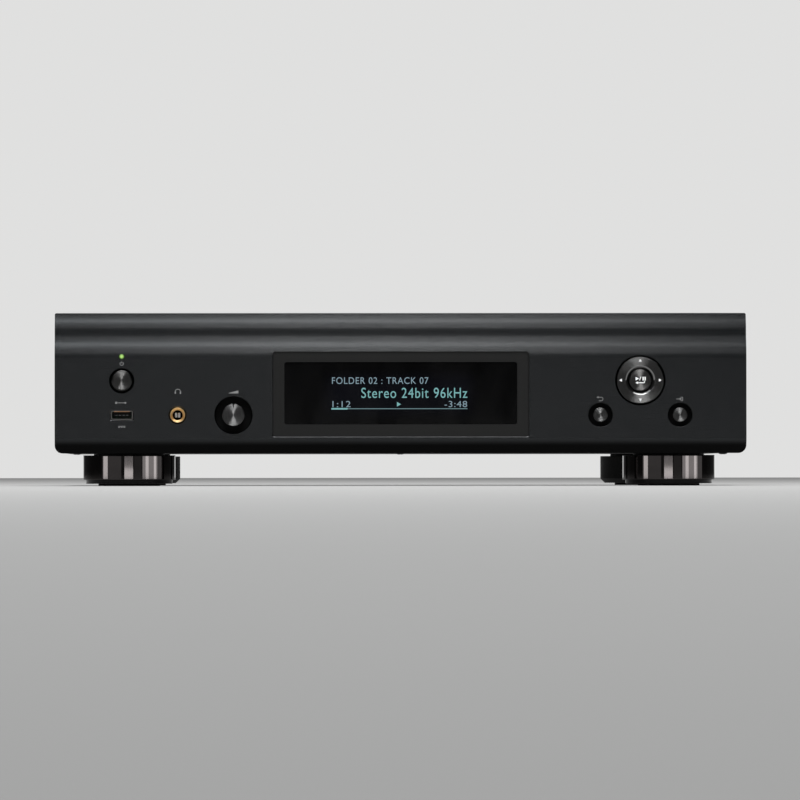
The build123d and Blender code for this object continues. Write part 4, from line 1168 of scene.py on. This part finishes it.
@dataclass
class CursorPad:
    """The four-way ring round the enter button, with its printed arrows."""

    bore: float = 7.4
    radius: float = 14.8
    facets: int = 128
    edge: float = 0.5
    soft: float = 0.15
    dish: float = 0.3
    thickness: float = 4.1
    peg: float = 1.8
    peg_corner: float = 0.2
    peg_reach: float = 12.0
    peg_sink: float = 0.2
    lip: float = 9.2
    lip_depth: float = 1.8
    lip_rim: float = 0.1
    arrow_reach: float = 12.2
    arrow: float = 1.1
    arrow_sink: float = 0.2
    arrow_depth: float = 0.16
    sign_tips: tuple[Row, ...] = ((-2.25, 0.95, 1.35, 0), (-2.0, -1.6, 1.05, 180))
    sign_bars: tuple[Row, ...] = (
        (1.75, 0.95, 0.75, 2.3), (3.0, 0.95, 0.75, 2.3), (0.6, -1.6, 4.4, 0.5),
        (2.6, -1.1, 0.5, 1.4),
    )
    slash_spot: Point = (-0.1, 0.95)
    slash: tuple[Point, ...] = ((-0.65, -1.15), (-0.25, -1.15), (0.65, 1.15), (0.25, 1.15))

    def build(self) -> None:
        """Turn the ring on its two pegs, and print its arrows and the button's sign."""
        seat = Seat.of("cursor_ring")
        (x, z), front = seat.spot, seat.low.y
        back = front + self.thickness
        outline = [
            (self.bore, back), (self.radius, back), (self.radius, front + self.edge),
            (self.radius - self.edge, front), (self.lip, front + self.dish),
            (self.bore, front + self.lip_depth), (self.bore, back),
        ]
        ring = Work.lathe("ring", outline, seat.middle, self.facets).ease(self.soft)
        post = rounded(self.peg, self.peg, self.peg_corner, self.peg_corner, 2)
        pegs = [Work.upright("peg", post, (x + side * self.peg_reach, z), back - self.peg_sink,
                             seat.high.y) for side in (-1, 1)]
        ring = Work.join("cursor_ring_turned", [*pegs, ring]).smooth()
        finish = Spun("cursor_ring_spun", grey(0.042), (0.066, 0.066, 0.065), (x, z))
        ring.dress(finish, Slot.DARK_SPUN, "cursor_ring", body=Body.CURSOR)
        rim, spot = self.lip + self.lip_rim, Vector((x, z)) * MM
        ring.patch(LIP_CHROME, lambda part: (part.center.xz - spot).length / MM < rim)
        arrows = Marks(front + self.arrow_sink, self.arrow_depth, (x, z))
        for turn, place in enumerate(spokes(self.arrow_reach, 4)):
            arrows.tips((*place, self.arrow, 90 * turn))
        arrows.finish("cursor_arrows", WHITE_INK, Body.CURSOR)
        sign = Marks(Seat.of("enter_button_cap").low.y, origin=(x, z))
        sign.tips(*self.sign_tips)
        sign.bars(*self.sign_bars)
        sign.shape(self.slash_spot, self.slash)
        sign.finish("enter_sign", WHITE_INK, Body.ENTER)


@dataclass
class VolumeKnob:
    """The turned volume knob with its spun cap and index notch."""

    edge: float = 0.4
    cap_soft: float = 0.12
    cap_facets: int = 128
    body_soft: float = 0.15
    facing: float = -0.9
    notch: Point = (0.8, 2.3)
    past: float = 1.0

    def build(self) -> None:
        """Turn the body and the cap, and mill the notch through to a dark floor."""
        seat = Seat.of("volume_knob")
        side = Spun("volume_knob_side", (0.035, 0.035, 0.036), grey(0.06), seat.spot, 0.35)
        body = Work.lathe("volume_knob_turned", seat.cap(0), seat.middle)
        body.ease(self.body_soft).smooth()
        body.dress(side, Slot.DARK_SPUN, "volume_knob", body=Body.VOLUME)
        body.patch(WELL, lambda part: part.normal.y < self.facing)
        seat = Seat.of("volume_knob_cap")
        (front, back), (x, z), past = seat.ends, seat.spot, self.past
        shape = seat.cap(self.edge)
        cap = Work.lathe("volume_cap_turned", shape, seat.middle, self.cap_facets)
        cap.ease(self.cap_soft)
        width, length = self.notch
        spot = (x, z + seat.radius + (past - length) / 2)
        slit = oblong(width, length + past)
        cap.carve(Work.upright("notch", slit, spot, front - past, back + past)).smooth()
        finish = Spun("volume_cap_spun", grey(0.056), grey(0.088), (x, z))
        cap.dress(finish, Slot.SPUN, "volume_knob_cap", body=Body.VOLUME)


@dataclass
class HeadphoneSocket:
    """The gilt bush of the headphone socket and the spring contacts in it."""

    bore: float = 3.2
    edge: float = 0.3
    soft: float = 0.08
    funnel: Point = (1.45, 1.1)
    leaf: Row = (1.5, 3.0, 0.3, 0.3)
    leaf_soft: float = 0.2
    leaf_reach: float = 0.95
    leaf_depth: float = 6.5

    def build(self) -> None:
        """Turn the bush with its funnel, and set the spring contacts behind its mouth."""
        seat = Seat.of("headphone_bush")
        radius, (front, back), (x, z) = seat.radius, seat.ends, seat.spot
        out, deep = self.funnel
        outline = [
            (self.bore, back), (radius, back), (radius, front + self.edge),
            (radius - self.edge, front), (self.bore + out, front), (self.bore, front + deep),
            (self.bore, back),
        ]
        bush = Work.lathe("headphone_bush_turned", outline, seat.middle)
        bush.ease(self.soft).smooth().dress(PALE_GILT, Slot.GILT, "headphone_bush")
        shape = rounded(*self.leaf, steps=3)
        leaves = [Work.upright("leaf", shape, (x + side * self.leaf_reach, z),
                               front + self.leaf_depth, back) for side in (-1, 1)]
        Work.join("headphone_springs", leaves).ease(self.leaf_soft).dress(STEEL, Slot.STEEL)


@dataclass
class PowerLamp:
    """The small domed lens of the power lamp."""

    radius: float = 1.5
    crown: float = 0.25
    steps: int = 6
    facets: int = 48

    def build(self) -> None:
        """Turn a lens with a low crown inside the CAD lens's length."""
        seat = Seat.of("power_led_lens")
        front, back = seat.ends
        rises = [math.pi / 2 * step / self.steps for step in range(self.steps + 1)]
        dome = [(self.radius * math.cos(at), front + self.crown * (1 - math.sin(at)))
                for at in rises]
        outline = [(0, back), (self.radius, back), *dome]
        lens = Work.lathe("power_lamp_lens", outline, seat.middle, self.facets).smooth()
        glow = Lamp("led_green_glow", (0.06, 0.14, 0.02), (0.42, 0.66, 0.16), seat.spot,
                    self.radius)
        lens.dress(glow, Slot.LED, "power_led_lens")


@dataclass
class Feet:
    """Four turned feet: the front pair sleeved in dark chrome, all with felt pads."""

    hub_radius: float = 22.5
    hub_low: float = 19.4
    step_radius: float = 27.4
    step_high: float = 3.8
    pad_bore: float = 9.0
    pad_radius: float = 19.6
    pad_high: float = 1.4
    pad_soft: float = 0.3
    facets: int = 160
    wall: float = 1.0
    well: float = 6.0
    well_top: float = 16.0
    chamfer: float = 3.0
    loop: float = 0.6

    def pads(self, places: Sequence[Vector]) -> None:
        """Turn one felt pad and copy it under every foot.

        Args:
            places: Middles of the feet.
        """
        inner, outer, high = self.pad_bore, self.pad_radius, self.pad_high
        ring = [(inner, 0), (outer, 0), (outer, high), (inner, high), (inner, 0)]
        first = Work.lathe("pad", ring, places[0], turn=Turn.HEIGHT)
        first.ease(self.pad_soft).smooth()
        shifts = [((place - places[0]).x, (place - places[0]).y, 0) for place in places[1:]]
        first.spread("foot_pads_felt", shifts).dress(PAD, Slot.PAD, "foot_pads")

    def build(self) -> None:
        """Turn one front and one rear foot, and copy each to the other side."""
        front_seat, outer = Seat.of("front_foot_left"), Seat.of("rear_foot_left").radius
        top, core, inner = front_seat.high.z, front_seat.radius, outer - self.wall
        low, high = self.step_high, self.hub_low
        places = [Seat.of(f"{end}_foot_{side}").middle
                  for end in ("front", "rear") for side in ("left", "right")]
        hub = [(0, self.well_top), (self.well, self.well_top), (self.well, self.pad_high)]
        tail = [(self.hub_radius, high), (self.hub_radius, top), (0, top)]
        front = [*hub, (self.step_radius, self.pad_high), (self.step_radius, low),
                 (core, low), (core, high), *tail]
        rear = [*hub, (outer - self.chamfer, self.pad_high), (outer, self.pad_high + self.chamfer),
                (outer, high), *tail]
        sleeve = [(inner, low), (outer, low), (outer, low + self.loop), (outer, high - self.loop),
                  (outer, high), (inner, high), (inner, low)]
        kinds = (
            ("front_foot", front, places[:2], FOOT_GLOSS, Slot.GLOSS, 0.25),
            ("rear_foot", rear, places[2:], MOULDED, Slot.MOULDED, 0.3),
            ("front_foot_trim", sleeve, places[:2], CHROME, Slot.CHROME, 0.2),
        )
        for kind, outline, (left, right), finish, slot, edge in kinds:
            first = Work.lathe(f"{kind}_left_turned", outline, left, self.facets, Turn.HEIGHT)
            first.ease(edge).smooth(weight=100)
            twin = first.copy(f"{kind}_right_turned", (right.x - left.x, right.y - left.y, 0))
            first.dress(finish, slot, f"{kind}_left")
            twin.dress(finish, slot, f"{kind}_right")
        self.pads(places)


@dataclass
class Screws:
    """Pan-head screws with a cross recess, wherever the case shows one."""

    radius: float = 1.4
    facets: int = 32
    shank: float = 6.0
    point: Point = (0.7, 0.5)
    head_radius: float = 2.75
    head: tuple[Point, ...] = ((1.0, 0.0), (1.0, 0.45), (0.93, 0.85), (0.72, 1.16), (0.4, 1.3))
    slit: float = 0.56
    slit_span: float = 1.24
    slit_depth: float = 0.75
    cover_rows: Row = (-126.95, 3.05, 133.05)
    cover_height: float = 29.0
    lip_columns: Row = (-149.8, 0.0, 149.8)
    lip_height: float = 103.0
    rear_columns: Row = (-189.8, -63.27, 63.27, 189.8)
    rear_height: float = 26.5
    inlet_reach: float = 20.0
    base_columns: Row = (-203.5, 0.0, 203.5)
    base_place: Point = (-182.0, 21.0)

    def model(self) -> Work:
        """Turn a screw along the height at the origin and cut its recess.

        Returns:
            The screw.
        """
        low, crown = -self.shank, self.head[-1][1]
        share, taper = self.point
        head = [(self.head_radius * part, up) for part, up in self.head]
        outline = [(0, low), (self.radius * share, low), (self.radius, low + taper),
                   (self.radius, 0), *head, (0, crown)]
        screw = Work.lathe("screw", outline, Vector((0, 0, 0)), self.facets, Turn.HEIGHT)
        arm, floor = self.head_radius * self.slit_span, crown - self.slit_depth
        for size in ((arm, self.slit), (self.slit, arm)):
            points = [Vector((x, y, floor)) * MM for x, y in oblong(*size)]
            screw.carve(Work.prism("cross", points, Vector((0, 0, 2 * self.slit_depth)) * MM))
        return screw.smooth()

    def build(self) -> None:
        """Copy the screw to each place and join them by the node they stand for."""
        model, flange = self.model(), Seat.of("mains_inlet")
        cover, rear = Seat.of("top_cover").high, Seat.of("rear_panel").high.y
        quarter = math.pi / 2
        to_rear, down = Euler((-quarter, 0, 0)), Euler((math.pi, 0, 0))
        covers = [((side * cover.x, y, self.cover_height), Euler((0, side * quarter, 0)))
                  for side in (-1, 1) for y in self.cover_rows]
        covers += [((x, cover.y, self.lip_height), to_rear) for x in self.lip_columns]
        rears = [((x, rear, self.rear_height), to_rear) for x in self.rear_columns]
        rears += [((flange.middle.x + side * self.inlet_reach, flange.high.y, flange.middle.z),
                   to_rear) for side in (-1, 1)]
        base = [((x, *self.base_place), down) for x in self.base_columns]
        for kind, places in (("cover", covers), ("rear", rears), ("base", base)):
            copies = [model.copy("screw_twin", spot, turn) for spot, turn in places]
            group = Work.join(f"{kind}_screws_cross", copies)
            group.dress(SCREW_BLACK, Slot.SCREW, f"{kind}_screws")
        bpy.data.objects.remove(model.piece)


@dataclass
class RearSockets:
    """Gilt phono shells with coloured insulators, threaded antenna stubs and printed frames."""

    phonos: tuple[tuple[float, float, Finish], ...] = (
        (190.6, 42.8, RED_PLASTIC), (168.6, 42.8, RED_PLASTIC), (190.6, 66.8, WHITE_PLASTIC),
        (168.6, 66.8, WHITE_PLASTIC), (146.6, 42.8, ORANGE_PLASTIC),
    )
    antennas: tuple[Point, Point] = ((-197.8, 90.5), (197.8, 90.5))
    frames: tuple[Row, ...] = (
        (179.6, 54.8, 42.0, 44.0), (130.4, 40.0, 51.4, 22.0), (12.0, 40.5, 74.0, 22.0),
    )
    frame_line: float = 0.35
    past: float = 1.0
    radius: float = 4.15
    bore: float = 3.45
    bore_edge: Point = (0.1, 0.15)
    groove: tuple[Point, ...] = (
        (0.0, 2.6), (0.25, 2.4), (0.25, 2.0), (0.0, 1.8), (0.0, 0.35), (0.3, 0.0),
    )
    shell_facets: int = 64
    collar: float = 6.0
    collar_depth: float = 1.2
    collar_bite: float = 0.1
    collar_soft: float = 0.12
    core: float = 2.5
    cup: tuple[Point, ...] = (
        (1.6, 0.0), (1.6, 0.35), (2.2, 0.5), (3.42, 0.5), (3.42, 0.0), (1.6, 0.0),
    )
    cup_soft: float = 0.08
    stub: float = 3.1
    stub_facets: int = 48
    stub_mouth: tuple[Point, ...] = ((2.2, 0.0), (2.2, 6.0), (0.9, 6.0), (0.5, 1.5), (0.0, 1.2))
    nut: float = 5.2
    nut_depth: float = 2.4
    nut_soft: float = 0.25
    thread: tuple[Point, ...] = ((0.3, 0.0), (0.0, 0.3), (0.0, 0.42), (0.3, 0.72))
    thread_start: float = 2.6
    thread_pitch: float = 0.75
    thread_spare: float = 0.8
    thread_end: tuple[Point, ...] = ((0.3, 0.3), (0.6, 0.0))
    contacts: int = 8
    contact: Row = (0.5, 0.4, 0.1, 0.1)
    contact_pitch: float = 1.02
    contact_rise: float = 8.6
    contact_ends: Point = (11.0, 1.2)

    def phono_shell(self, spot: Point, rear: float, shells: Seat) -> Work:
        """Turn one shell and set its hexagon collar.

        Args:
            spot: Its place across and up.
            rear: Depth of the rear panel's face.
            shells: Where the CAD shells sit.

        Returns:
            The shell.
        """
        (inner, tip), radius, bore = shells.ends, self.radius, self.bore
        groove = [(radius - inset, tip - below) for inset, below in self.groove]
        wider, deeper = self.bore_edge
        tube = [(bore, inner), (radius, inner), *groove, (bore + wider, tip), (bore, tip - deeper),
                (bore, inner)]
        centre, hole = Vector((spot[0], 0, spot[1])), radius - self.collar_bite
        shell = Work.lathe("shell", tube, centre, self.shell_facets)
        back = rear + self.collar_depth
        collar = Work.upright("collar", spokes(self.collar, 6), spot, rear, back)
        low, high = rear - self.past, back + self.past
        drill = [(0, low), (hole, low), (hole, high), (0, high)]
        collar.carve(Work.lathe("drill", drill, centre, self.shell_facets)).ease(self.collar_soft)
        return Work.join("shell", [collar, shell]).smooth()

    def antenna_stub(self, spot: Point, rear: float, stubs: Seat) -> Work:
        """Turn one threaded stub with its nut.

        Args:
            spot: Its place across and up.
            rear: Depth of the rear panel's face.
            stubs: Where the CAD stubs sit.

        Returns:
            The stub.
        """
        (inner, tip), crest, pitch = stubs.ends, self.stub, self.thread_pitch
        start = rear + self.thread_start
        turns = range(int((tip - self.thread_spare - start) / pitch))
        thread = [(crest - inset, start + pitch * turn + along)
                  for turn in turns for inset, along in self.thread]
        end = [(crest - inset, tip - below) for inset, below in self.thread_end]
        mouth = [(radius, tip - below) for radius, below in self.stub_mouth]
        outline = [(0, inner), (thread[0][0], inner), *thread, *end, *mouth]
        stub = Work.lathe("stub", outline, Vector((spot[0], 0, spot[1])), self.stub_facets)
        nut = Work.upright("nut", spokes(self.nut, 6), spot, rear, rear + self.nut_depth)
        return Work.join("stub", [nut.ease(self.nut_soft), stub]).smooth()

    def build(self) -> None:
        """Turn one socket of each kind and copy it to its places."""
        rear = Seat.of("rear_panel").high.y
        (x, z), *others = [phono[:2] for phono in self.phonos]
        shell = self.phono_shell((x, z), rear, Seat.of("phono_shells"))
        shells = shell.spread("phono_shells_turned", [(a - x, 0, b - z) for a, b in others])
        shells.dress(GILT, Slot.GILT, "phono_shells")
        self.insulators(rear + self.core)
        (x, z), (a, b) = self.antennas
        stub = self.antenna_stub((x, z), rear, Seat.of("antenna_terminals"))
        stubs = stub.spread("antenna_terminals_turned", [(a - x, 0, b - z)])
        stubs.dress(GILT, Slot.GILT, "antenna_terminals")
        self.springs()
        marks, line = Marks(rear, -0.04), self.frame_line
        for x, z, width, height in self.frames:
            for side in (-1, 1):
                marks.bars((x, z + side * (height - line) / 2, width, line),
                           (x + side * (width - line) / 2, z, line, height - 2 * line))
        marks.finish("rear_marks", INK)

    def insulators(self, core: float) -> None:
        """Turn a coloured insulator and copy it into the shells.

        Args:
            core: Depth of its base.
        """
        cup = [(radius, core + up) for radius, up in self.cup]
        model = Work.lathe("insulator", cup, Vector((0, 0, 0)), self.stub_facets)
        model.ease(self.cup_soft).smooth()
        for finish in (RED_PLASTIC, WHITE_PLASTIC, ORANGE_PLASTIC):
            rings = [model.copy("ring", (x, 0, z)) for x, z, tint in self.phonos if tint is finish]
            Work.join(f"phono_{finish.name}", rings).dress(finish)
        bpy.data.objects.remove(model.piece)

    def springs(self) -> None:
        """Lay the row of contact springs in the network port."""
        port, shape = Seat.of("network_port"), rounded(*self.contact, steps=2)
        x, z = port.middle.x, port.low.z + self.contact_rise
        front, back = (port.high.y - depth for depth in self.contact_ends)
        places = [self.contact_pitch * (count - (self.contacts - 1) / 2)
                  for count in range(self.contacts)]
        wires = [Work.upright("wire", shape, (x + place, z), front, back) for place in places]
        Work.join("network_contacts", wires).dress(GILT, Slot.GILT)


@dataclass
class Sheetwork:
    """Case sheets and mouldings that keep their CAD shape with eased, smooth edges."""

    nodes: tuple[tuple[str, Finish, Slot, float], ...] = (
        ("top_cover", CASE_BLACK, Slot.CASE, 0.0),
        ("rear_panel", CASE_BLACK, Slot.CASE, 0.0),
        ("display_bezel", BEZEL_BLACK, Slot.BEZEL, 0.0),
        ("display_window", WINDOW, Slot.DISPLAY, 0.0),
        ("mains_inlet", MOULDED, Slot.MOULDED, 0.3),
        ("flat_port_shell", NICKEL, Slot.STEEL, 0.0),
    )

    def build(self) -> None:
        """Copy each node, smooth it and dress it."""
        for node, finish, slot, width in self.nodes:
            Work.softened(node, width).dress(finish, slot, node)


@dataclass
class Inside:
    """CAD nodes that stay as they are under their finishes."""

    finishes: tuple[tuple[Finish, tuple[str, ...]], ...] = (
        (CASE_BLACK, ("chassis_tray",)),
        (WELL, ("front_subframe", "headphone_jack", "flat_port_tongue", "cursor_carrier")),
        (MOULDED, ("power_button_plunger", "back_button_plunger", "source_button_plunger",
                   "enter_button_plunger", "optical_sockets", "optical_shutter_inner",
                   "optical_shutter_outer", "phono_blocks", "rear_port_tongues", "tact_switches",
                   "encoder_body", "display_module")),
        (STEEL, ("network_port", "rear_port_shells", "inlet_pins", "encoder_shaft",
                 "transformer_bolt", "board_standoffs", "foot_screws", "panel_screws")),
        (BOARD, ("front_boards", "audio_board", "network_board", "power_supply_board")),
        (ALUMINIUM, ("heat_sink",)),
        (TRANSFORMER, ("power_transformer",)),
        (CAPACITOR, ("supply_capacitors",)),
    )

    def build(self) -> None:
        """Lay each finish on its nodes."""
        for finish, nodes in self.finishes:
            finish.lay(*(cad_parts[node] for node in nodes))
            LOG.info("%s laid on %d nodes", finish.name, len(nodes))


@dataclass
class Display:
    """What the lit display shows: a generic track screen."""

    lift: float = 0.06
    mark_sink: float = 0.02
    small: tuple[tuple[str, float, float, float, float, Align], ...] = (
        ("FOLDER 02 : TRACK 07", 6.0, 60.5, -43.6, 64.0, Align.LEFT),
        ("1:12", 5.6, 11.4, -44.3, 49.4, Align.LEFT),
        ("-3:48", 5.6, 14.2, 41.8, 49.4, Align.RIGHT),
    )
    large: tuple[str, float, float, float, float, Align] = (
        "Stereo 24bit 96kHz", 9.2, 66.5, 41.8, 55.2, Align.RIGHT)
    play: Row = (-1.6, 51.2, 1.7, 0)
    played: Row = (-38.5, 48.4, 10.2, 1.0)
    rest: Row = (4.2, 48.4, 75.2, 0.5)

    def build(self) -> None:
        """Set the lines of type and draw the play mark and the progress bar."""
        depth = Seat.of("display_window").low.y - self.lift
        *small, large = [Work.words(text, size, width, (x, depth, z), align)
                         for text, size, width, x, z, align in (*self.small, self.large)]
        Work.join("display_small_lines", small).dress(PALE_GLYPH)
        bright, track = Marks(depth + self.mark_sink), Marks(depth + self.mark_sink)
        bright.drawn.append(large)
        bright.tips(self.play)
        bright.bars(self.played)
        bright.finish("display_large_line", GLYPH)
        track.bars(self.rest)
        track.finish("display_track", DIM_GLYPH)


@dataclass
class PanelMarks:
    """Small printed pictograms beside the controls."""

    arcs: tuple[Row, ...] = (
        (-175.0, 76.7, 1.05, HAIR, 125, 290), (-178.4, 52.2, 0.5, 0.5, 0, 360),
        (-139.8, 59.0, 1.7, HAIR, 0, 180), (125.7, 54.4, 1.1, HAIR, -90, 180),
    )
    bars: tuple[Row, ...] = (
        (-175.0, 77.6, HAIR, 1.3), (-175.6, 52.2, 5.2, HAIR), (-175.0, 37.5, 4.4, HAIR),
        (-176.65, 36.8, 1.1, HAIR), (-175.0, 36.8, 1.1, HAIR), (-173.35, 36.8, 1.1, HAIR),
        (-141.4, 58.6, 0.75, 1.5), (-138.2, 58.6, 0.75, 1.5), (124.6, 55.5, 2.2, HAIR),
        (125.0, 53.3, 1.4, HAIR), (174.2, 54.4, 2.4, HAIR), (176.9, 54.4, HAIR, 2.4),
        (176.3, 55.5, 1.4, HAIR), (176.3, 53.3, 1.4, HAIR),
    )
    tips: tuple[Row, ...] = (
        (-172.6, 52.2, 0.8, 0), (123.6, 55.5, 0.85, 180), (175.5, 54.4, 0.9, 0),
    )
    wedge_spot: Point = (-104.9, 58.2)
    wedge: tuple[Point, ...] = ((-3.0, -0.15), (3.0, -0.15), (3.0, 1.7), (-3.0, 0.15))

    def build(self) -> None:
        """Print each pictogram on the panel's face."""
        face = Marks(Seat.of("front_panel").low.y)
        face.arcs(*self.arcs)
        face.bars(*self.bars)
        face.tips(*self.tips)
        face.shape(self.wedge_spot, self.wedge)
        face.finish("panel_marks", INK)


@dataclass
class FlatPort:
    """Springs and contacts in the front data port."""

    spring: Row = (9.6, 0.42, 0.1, 0.1)
    spring_drop: float = 0.5
    spring_start: float = 0.02
    contacts: int = 4
    contact: Row = (1.1, 0.18, 0.04, 0.04)
    contact_drop: float = 0.06
    contact_start: float = 0.3
    pitch: float = 2.3
    length: float = 6.0

    def build(self) -> None:
        """Lay a copper spring under the shell's top and contacts under the tongue."""
        shell, tongue = Seat.of("flat_port_shell"), Seat.of("flat_port_tongue")
        x, mouth, inner = shell.middle.x, shell.low.y, tongue.low.y
        shape, z = rounded(*self.spring, steps=2), shell.high.z - self.spring_drop
        spring = Work.upright("port_spring", shape, (x, z), mouth + self.spring_start,
                              mouth + self.length)
        spring.dress(COPPER, Slot.STEEL)
        shape, z = rounded(*self.contact, steps=2), tongue.low.z - self.contact_drop
        places = [x + self.pitch * (count - (self.contacts - 1) / 2)
                  for count in range(self.contacts)]
        pads = [Work.upright("pad", shape, (place, z), inner + self.contact_start,
                             inner + self.length) for place in places]
        Work.join("port_contacts", pads).dress(STEEL, Slot.STEEL)


@dataclass
class Studio:
    """Floor, backdrop, lamps, sky and camera; lengths are in metres."""

    eye: Triple = (-0.092, -4.6525, 0.0075)
    target: Triple = (-0.00056, -0.2025, 0.05385)
    lens: float = 319.4
    sensor: float = 36.0
    clip: Point = (0.05, 100.0)
    roll: float = -0.05
    sky_light: float = 0.045
    floor_tone: Colour = (0.43, 0.43, 0.427)
    floor_size: float = 40.0
    wall_tone: Colour = (0.745, 0.745, 0.74)
    wall_size: float = 8.0
    wall_depth: float = 9.0
    aim: Triple = (0.0, -0.1, 0.06)
    behind: float = 0.5
    white: Colour = (1.0, 1.0, 1.0)
    cool: Colour = (0.84, 0.95, 1.0)
    box_reach: float = 4.5
    card_reach: float = 6.0
    overhead: tuple[tuple[str, Triple, float, float, float], ...] = (
        ("top_key", (-0.7, -0.5, 2.4), 1.6, 2.0, 1.5),
        ("top_strip", (0.2, -0.6, 1.3), 5.0, 0.2, 5.0),
        ("top_box", (0.0, 1.6, 3.2), 4.0, 4.0, 0.6),
        ("dim_room", (-5.2, -7.5, 1.5), 11.4, 3.0, 0.08),
    )
    boxes: tuple[tuple[str, float, float, float, float, float], ...] = (
        ("high_key", 2.0, 66.0, 2.9, 1.3, 18.5), ("front_key", 0.6, 50.0, 0.34, 1.5, 9.3),
        ("front_low", 0.6, 30.0, 0.34, 1.9, 6.5), ("front_base", 0.6, 11.0, 0.34, 1.2, 1.4),
        ("front_left", -17.0, 46.0, 1.1, 2.4, 2.5),
    )
    cards: tuple[tuple[str, float, float, float, float], ...] = (
        ("left_strip", -60.5, 1.25, 0.05, 7.0), ("left_card", -45.0, 5.6, 0.05, 0.5),
        ("low_card", -2.0, 2.2, 0.016, 7.0), ("low_card_tall", -2.0, 2.2, 0.036, 2.0),
        ("gap_card", 20.5, 2.0, 0.05, 0.25), ("right_card", 53.0, 4.6, 0.05, 3.4),
        ("right_strip", 44.0, 0.85, 0.05, 5.5), ("right_edge", 66.5, 0.75, 0.05, 6.0),
        ("far_right_card", 81.0, 1.35, 0.05, 0.9),
    )

    @staticmethod
    def pale(name: str, colour: Colour, strength: float) -> bpy.types.Material:
        """Mix a matt pale paper that the camera and mirrors see at its own colour.

        Args:
            name: Name of the material.
            colour: Colour of the paper.
            strength: Share of the colour that is shown as light of its own.

        Returns:
            The material.
        """
        sheet = Sheet(name)
        seen = sheet.node("LightPath", out="Is Camera Ray")
        for ray in ("Is Glossy Ray", "Is Transmission Ray"):
            seen = seen.at_least(sheet.node("LightPath", out=ray))
        shade = tuple(part * 0.985 for part in colour)
        tooth = sheet.mix(sheet.noise((30, 30, 30)), shade, colour)
        paper = sheet.node("BsdfDiffuse", {"Color": tooth})
        glow = sheet.node("Emission", {"Color": colour, "Strength": 1.0})
        sheet.end(sheet.node("MixShader", {0: seen * strength, 1: paper, 2: glow}))
        return sheet.material

    def screen(self, name: str, colour: Colour, strength: float, **plane: Any) -> Piece:
        """Add a plane of pale paper.

        Args:
            name: Name of the plane.
            colour: Colour of the paper.
            strength: Share of the colour that is shown as light of its own.
            plane: Size and place of the plane.

        Returns:
            The plane.
        """
        Work.clear()
        bpy.ops.mesh.primitive_plane_add(**plane)
        piece = bpy.context.active_object
        piece.name = name
        piece.data.materials.append(self.pale(f"{name}_paper", colour, strength))
        return piece

    @staticmethod
    def around(turn: float, rise: float, reach: float) -> Vector:
        """Place round the object's front.

        Args:
            turn: Degrees to the right.
            rise: Degrees up.
            reach: Metres away.

        Returns:
            The place.
        """
        side, up = math.radians(turn), math.radians(rise)
        flat = math.cos(up)
        return Vector((math.sin(side) * flat, -math.cos(side) * flat, math.sin(up))) * reach

    def lamp(self, name: str, place: Vector, width: float, height: float, glow: float) -> None:
        """Hang a soft box that faces the object, or the floor if it hangs behind.

        Args:
            name: Name of the lamp.
            place: Where it hangs.
            width: Its width.
            height: Its height.
            glow: How bright its face is.
        """
        Work.clear()
        bpy.ops.object.light_add(type="AREA", location=place)
        box = bpy.context.active_object
        box.name = name
        aim = Vector((place.x, place.y, 0)) if place.y > self.behind else Vector(self.aim)
        box.rotation_euler = (aim - place).to_track_quat("-Z", "Y").to_euler()
        box.data.shape, box.data.size, box.data.size_y = "RECTANGLE", width, height
        box.data.energy = glow * math.pi * width * height
        box.data.color = self.cool if name == "front_left" else self.white

    def camera(self) -> None:
        """Set the camera and how its picture is shown."""
        eye, target = Vector(self.eye), Vector(self.target)
        bpy.ops.object.camera_add(location=eye)
        camera = bpy.context.active_object
        camera.name = "camera"
        aim = (target - eye).to_track_quat("-Z", "Y")
        tilt = Euler((0, 0, math.radians(self.roll))).to_quaternion()
        camera.rotation_euler = (aim @ tilt).to_euler()
        camera.data.lens, camera.data.sensor_width = self.lens, self.sensor
        camera.data.clip_start, camera.data.clip_end = self.clip
        bpy.context.scene.camera = camera
        bpy.context.scene.view_settings.view_transform = "Standard"

    def build(self) -> None:
        """Set up the whole studio."""
        floor = self.screen("floor", self.floor_tone, 0.5, size=self.floor_size)
        wall = self.screen("backdrop", self.wall_tone, 1.0, size=self.wall_size,
                           location=(0, self.wall_depth, 0), rotation=(math.pi / 2, 0, 0))
        for name, place, *face in self.overhead:
            self.lamp(name, Vector(place), *face)
        for name, turn, rise, *face in self.boxes:
            self.lamp(name, self.around(turn, rise, self.box_reach), *face)
        for name, turn, width, height, glow in self.cards:
            spot = self.around(turn, 0, self.card_reach) + Vector((0, 0, height / 2))
            self.lamp(name, spot, width, height, glow)
        world = bpy.data.worlds.new("studio_sky")
        world.use_nodes = True
        sky = world.node_tree.nodes["Background"]
        sky.inputs["Color"].default_value = (1, 1, 1, 1)
        sky.inputs["Strength"].default_value = self.sky_light
        bpy.context.scene.world = world
        self.camera()


def main() -> None:
    """Build the sub-assemblies in order."""
    logging.basicConfig(level=logging.INFO, format="%(name)s: %(message)s")
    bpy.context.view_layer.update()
    dark, dim = (0.044, 0.0435, 0.043), (0.070, 0.069, 0.068)
    silver, bright = grey(0.053), grey(0.084)
    for assembly in (
        Studio(), Inside(), Sheetwork(), FrontPanel(),
        PushButton(Body.POWER, Slot.DARK_SPUN, 0.9, dark, dim),
        PushButton(Body.BACK, Slot.SPUN, 0.5, silver, bright),
        PushButton(Body.SOURCE, Slot.SPUN, 0.5, silver, bright),
        PushButton(Body.ENTER, Slot.DARK_SPUN, 0.5, dark, dim),
        CursorPad(), VolumeKnob(), HeadphoneSocket(), PowerLamp(), Feet(), Screws(),
        RearSockets(), FlatPort(), PanelMarks(), Display(),
    ):
        assembly.build()


if __name__ == "__main__":
    main()
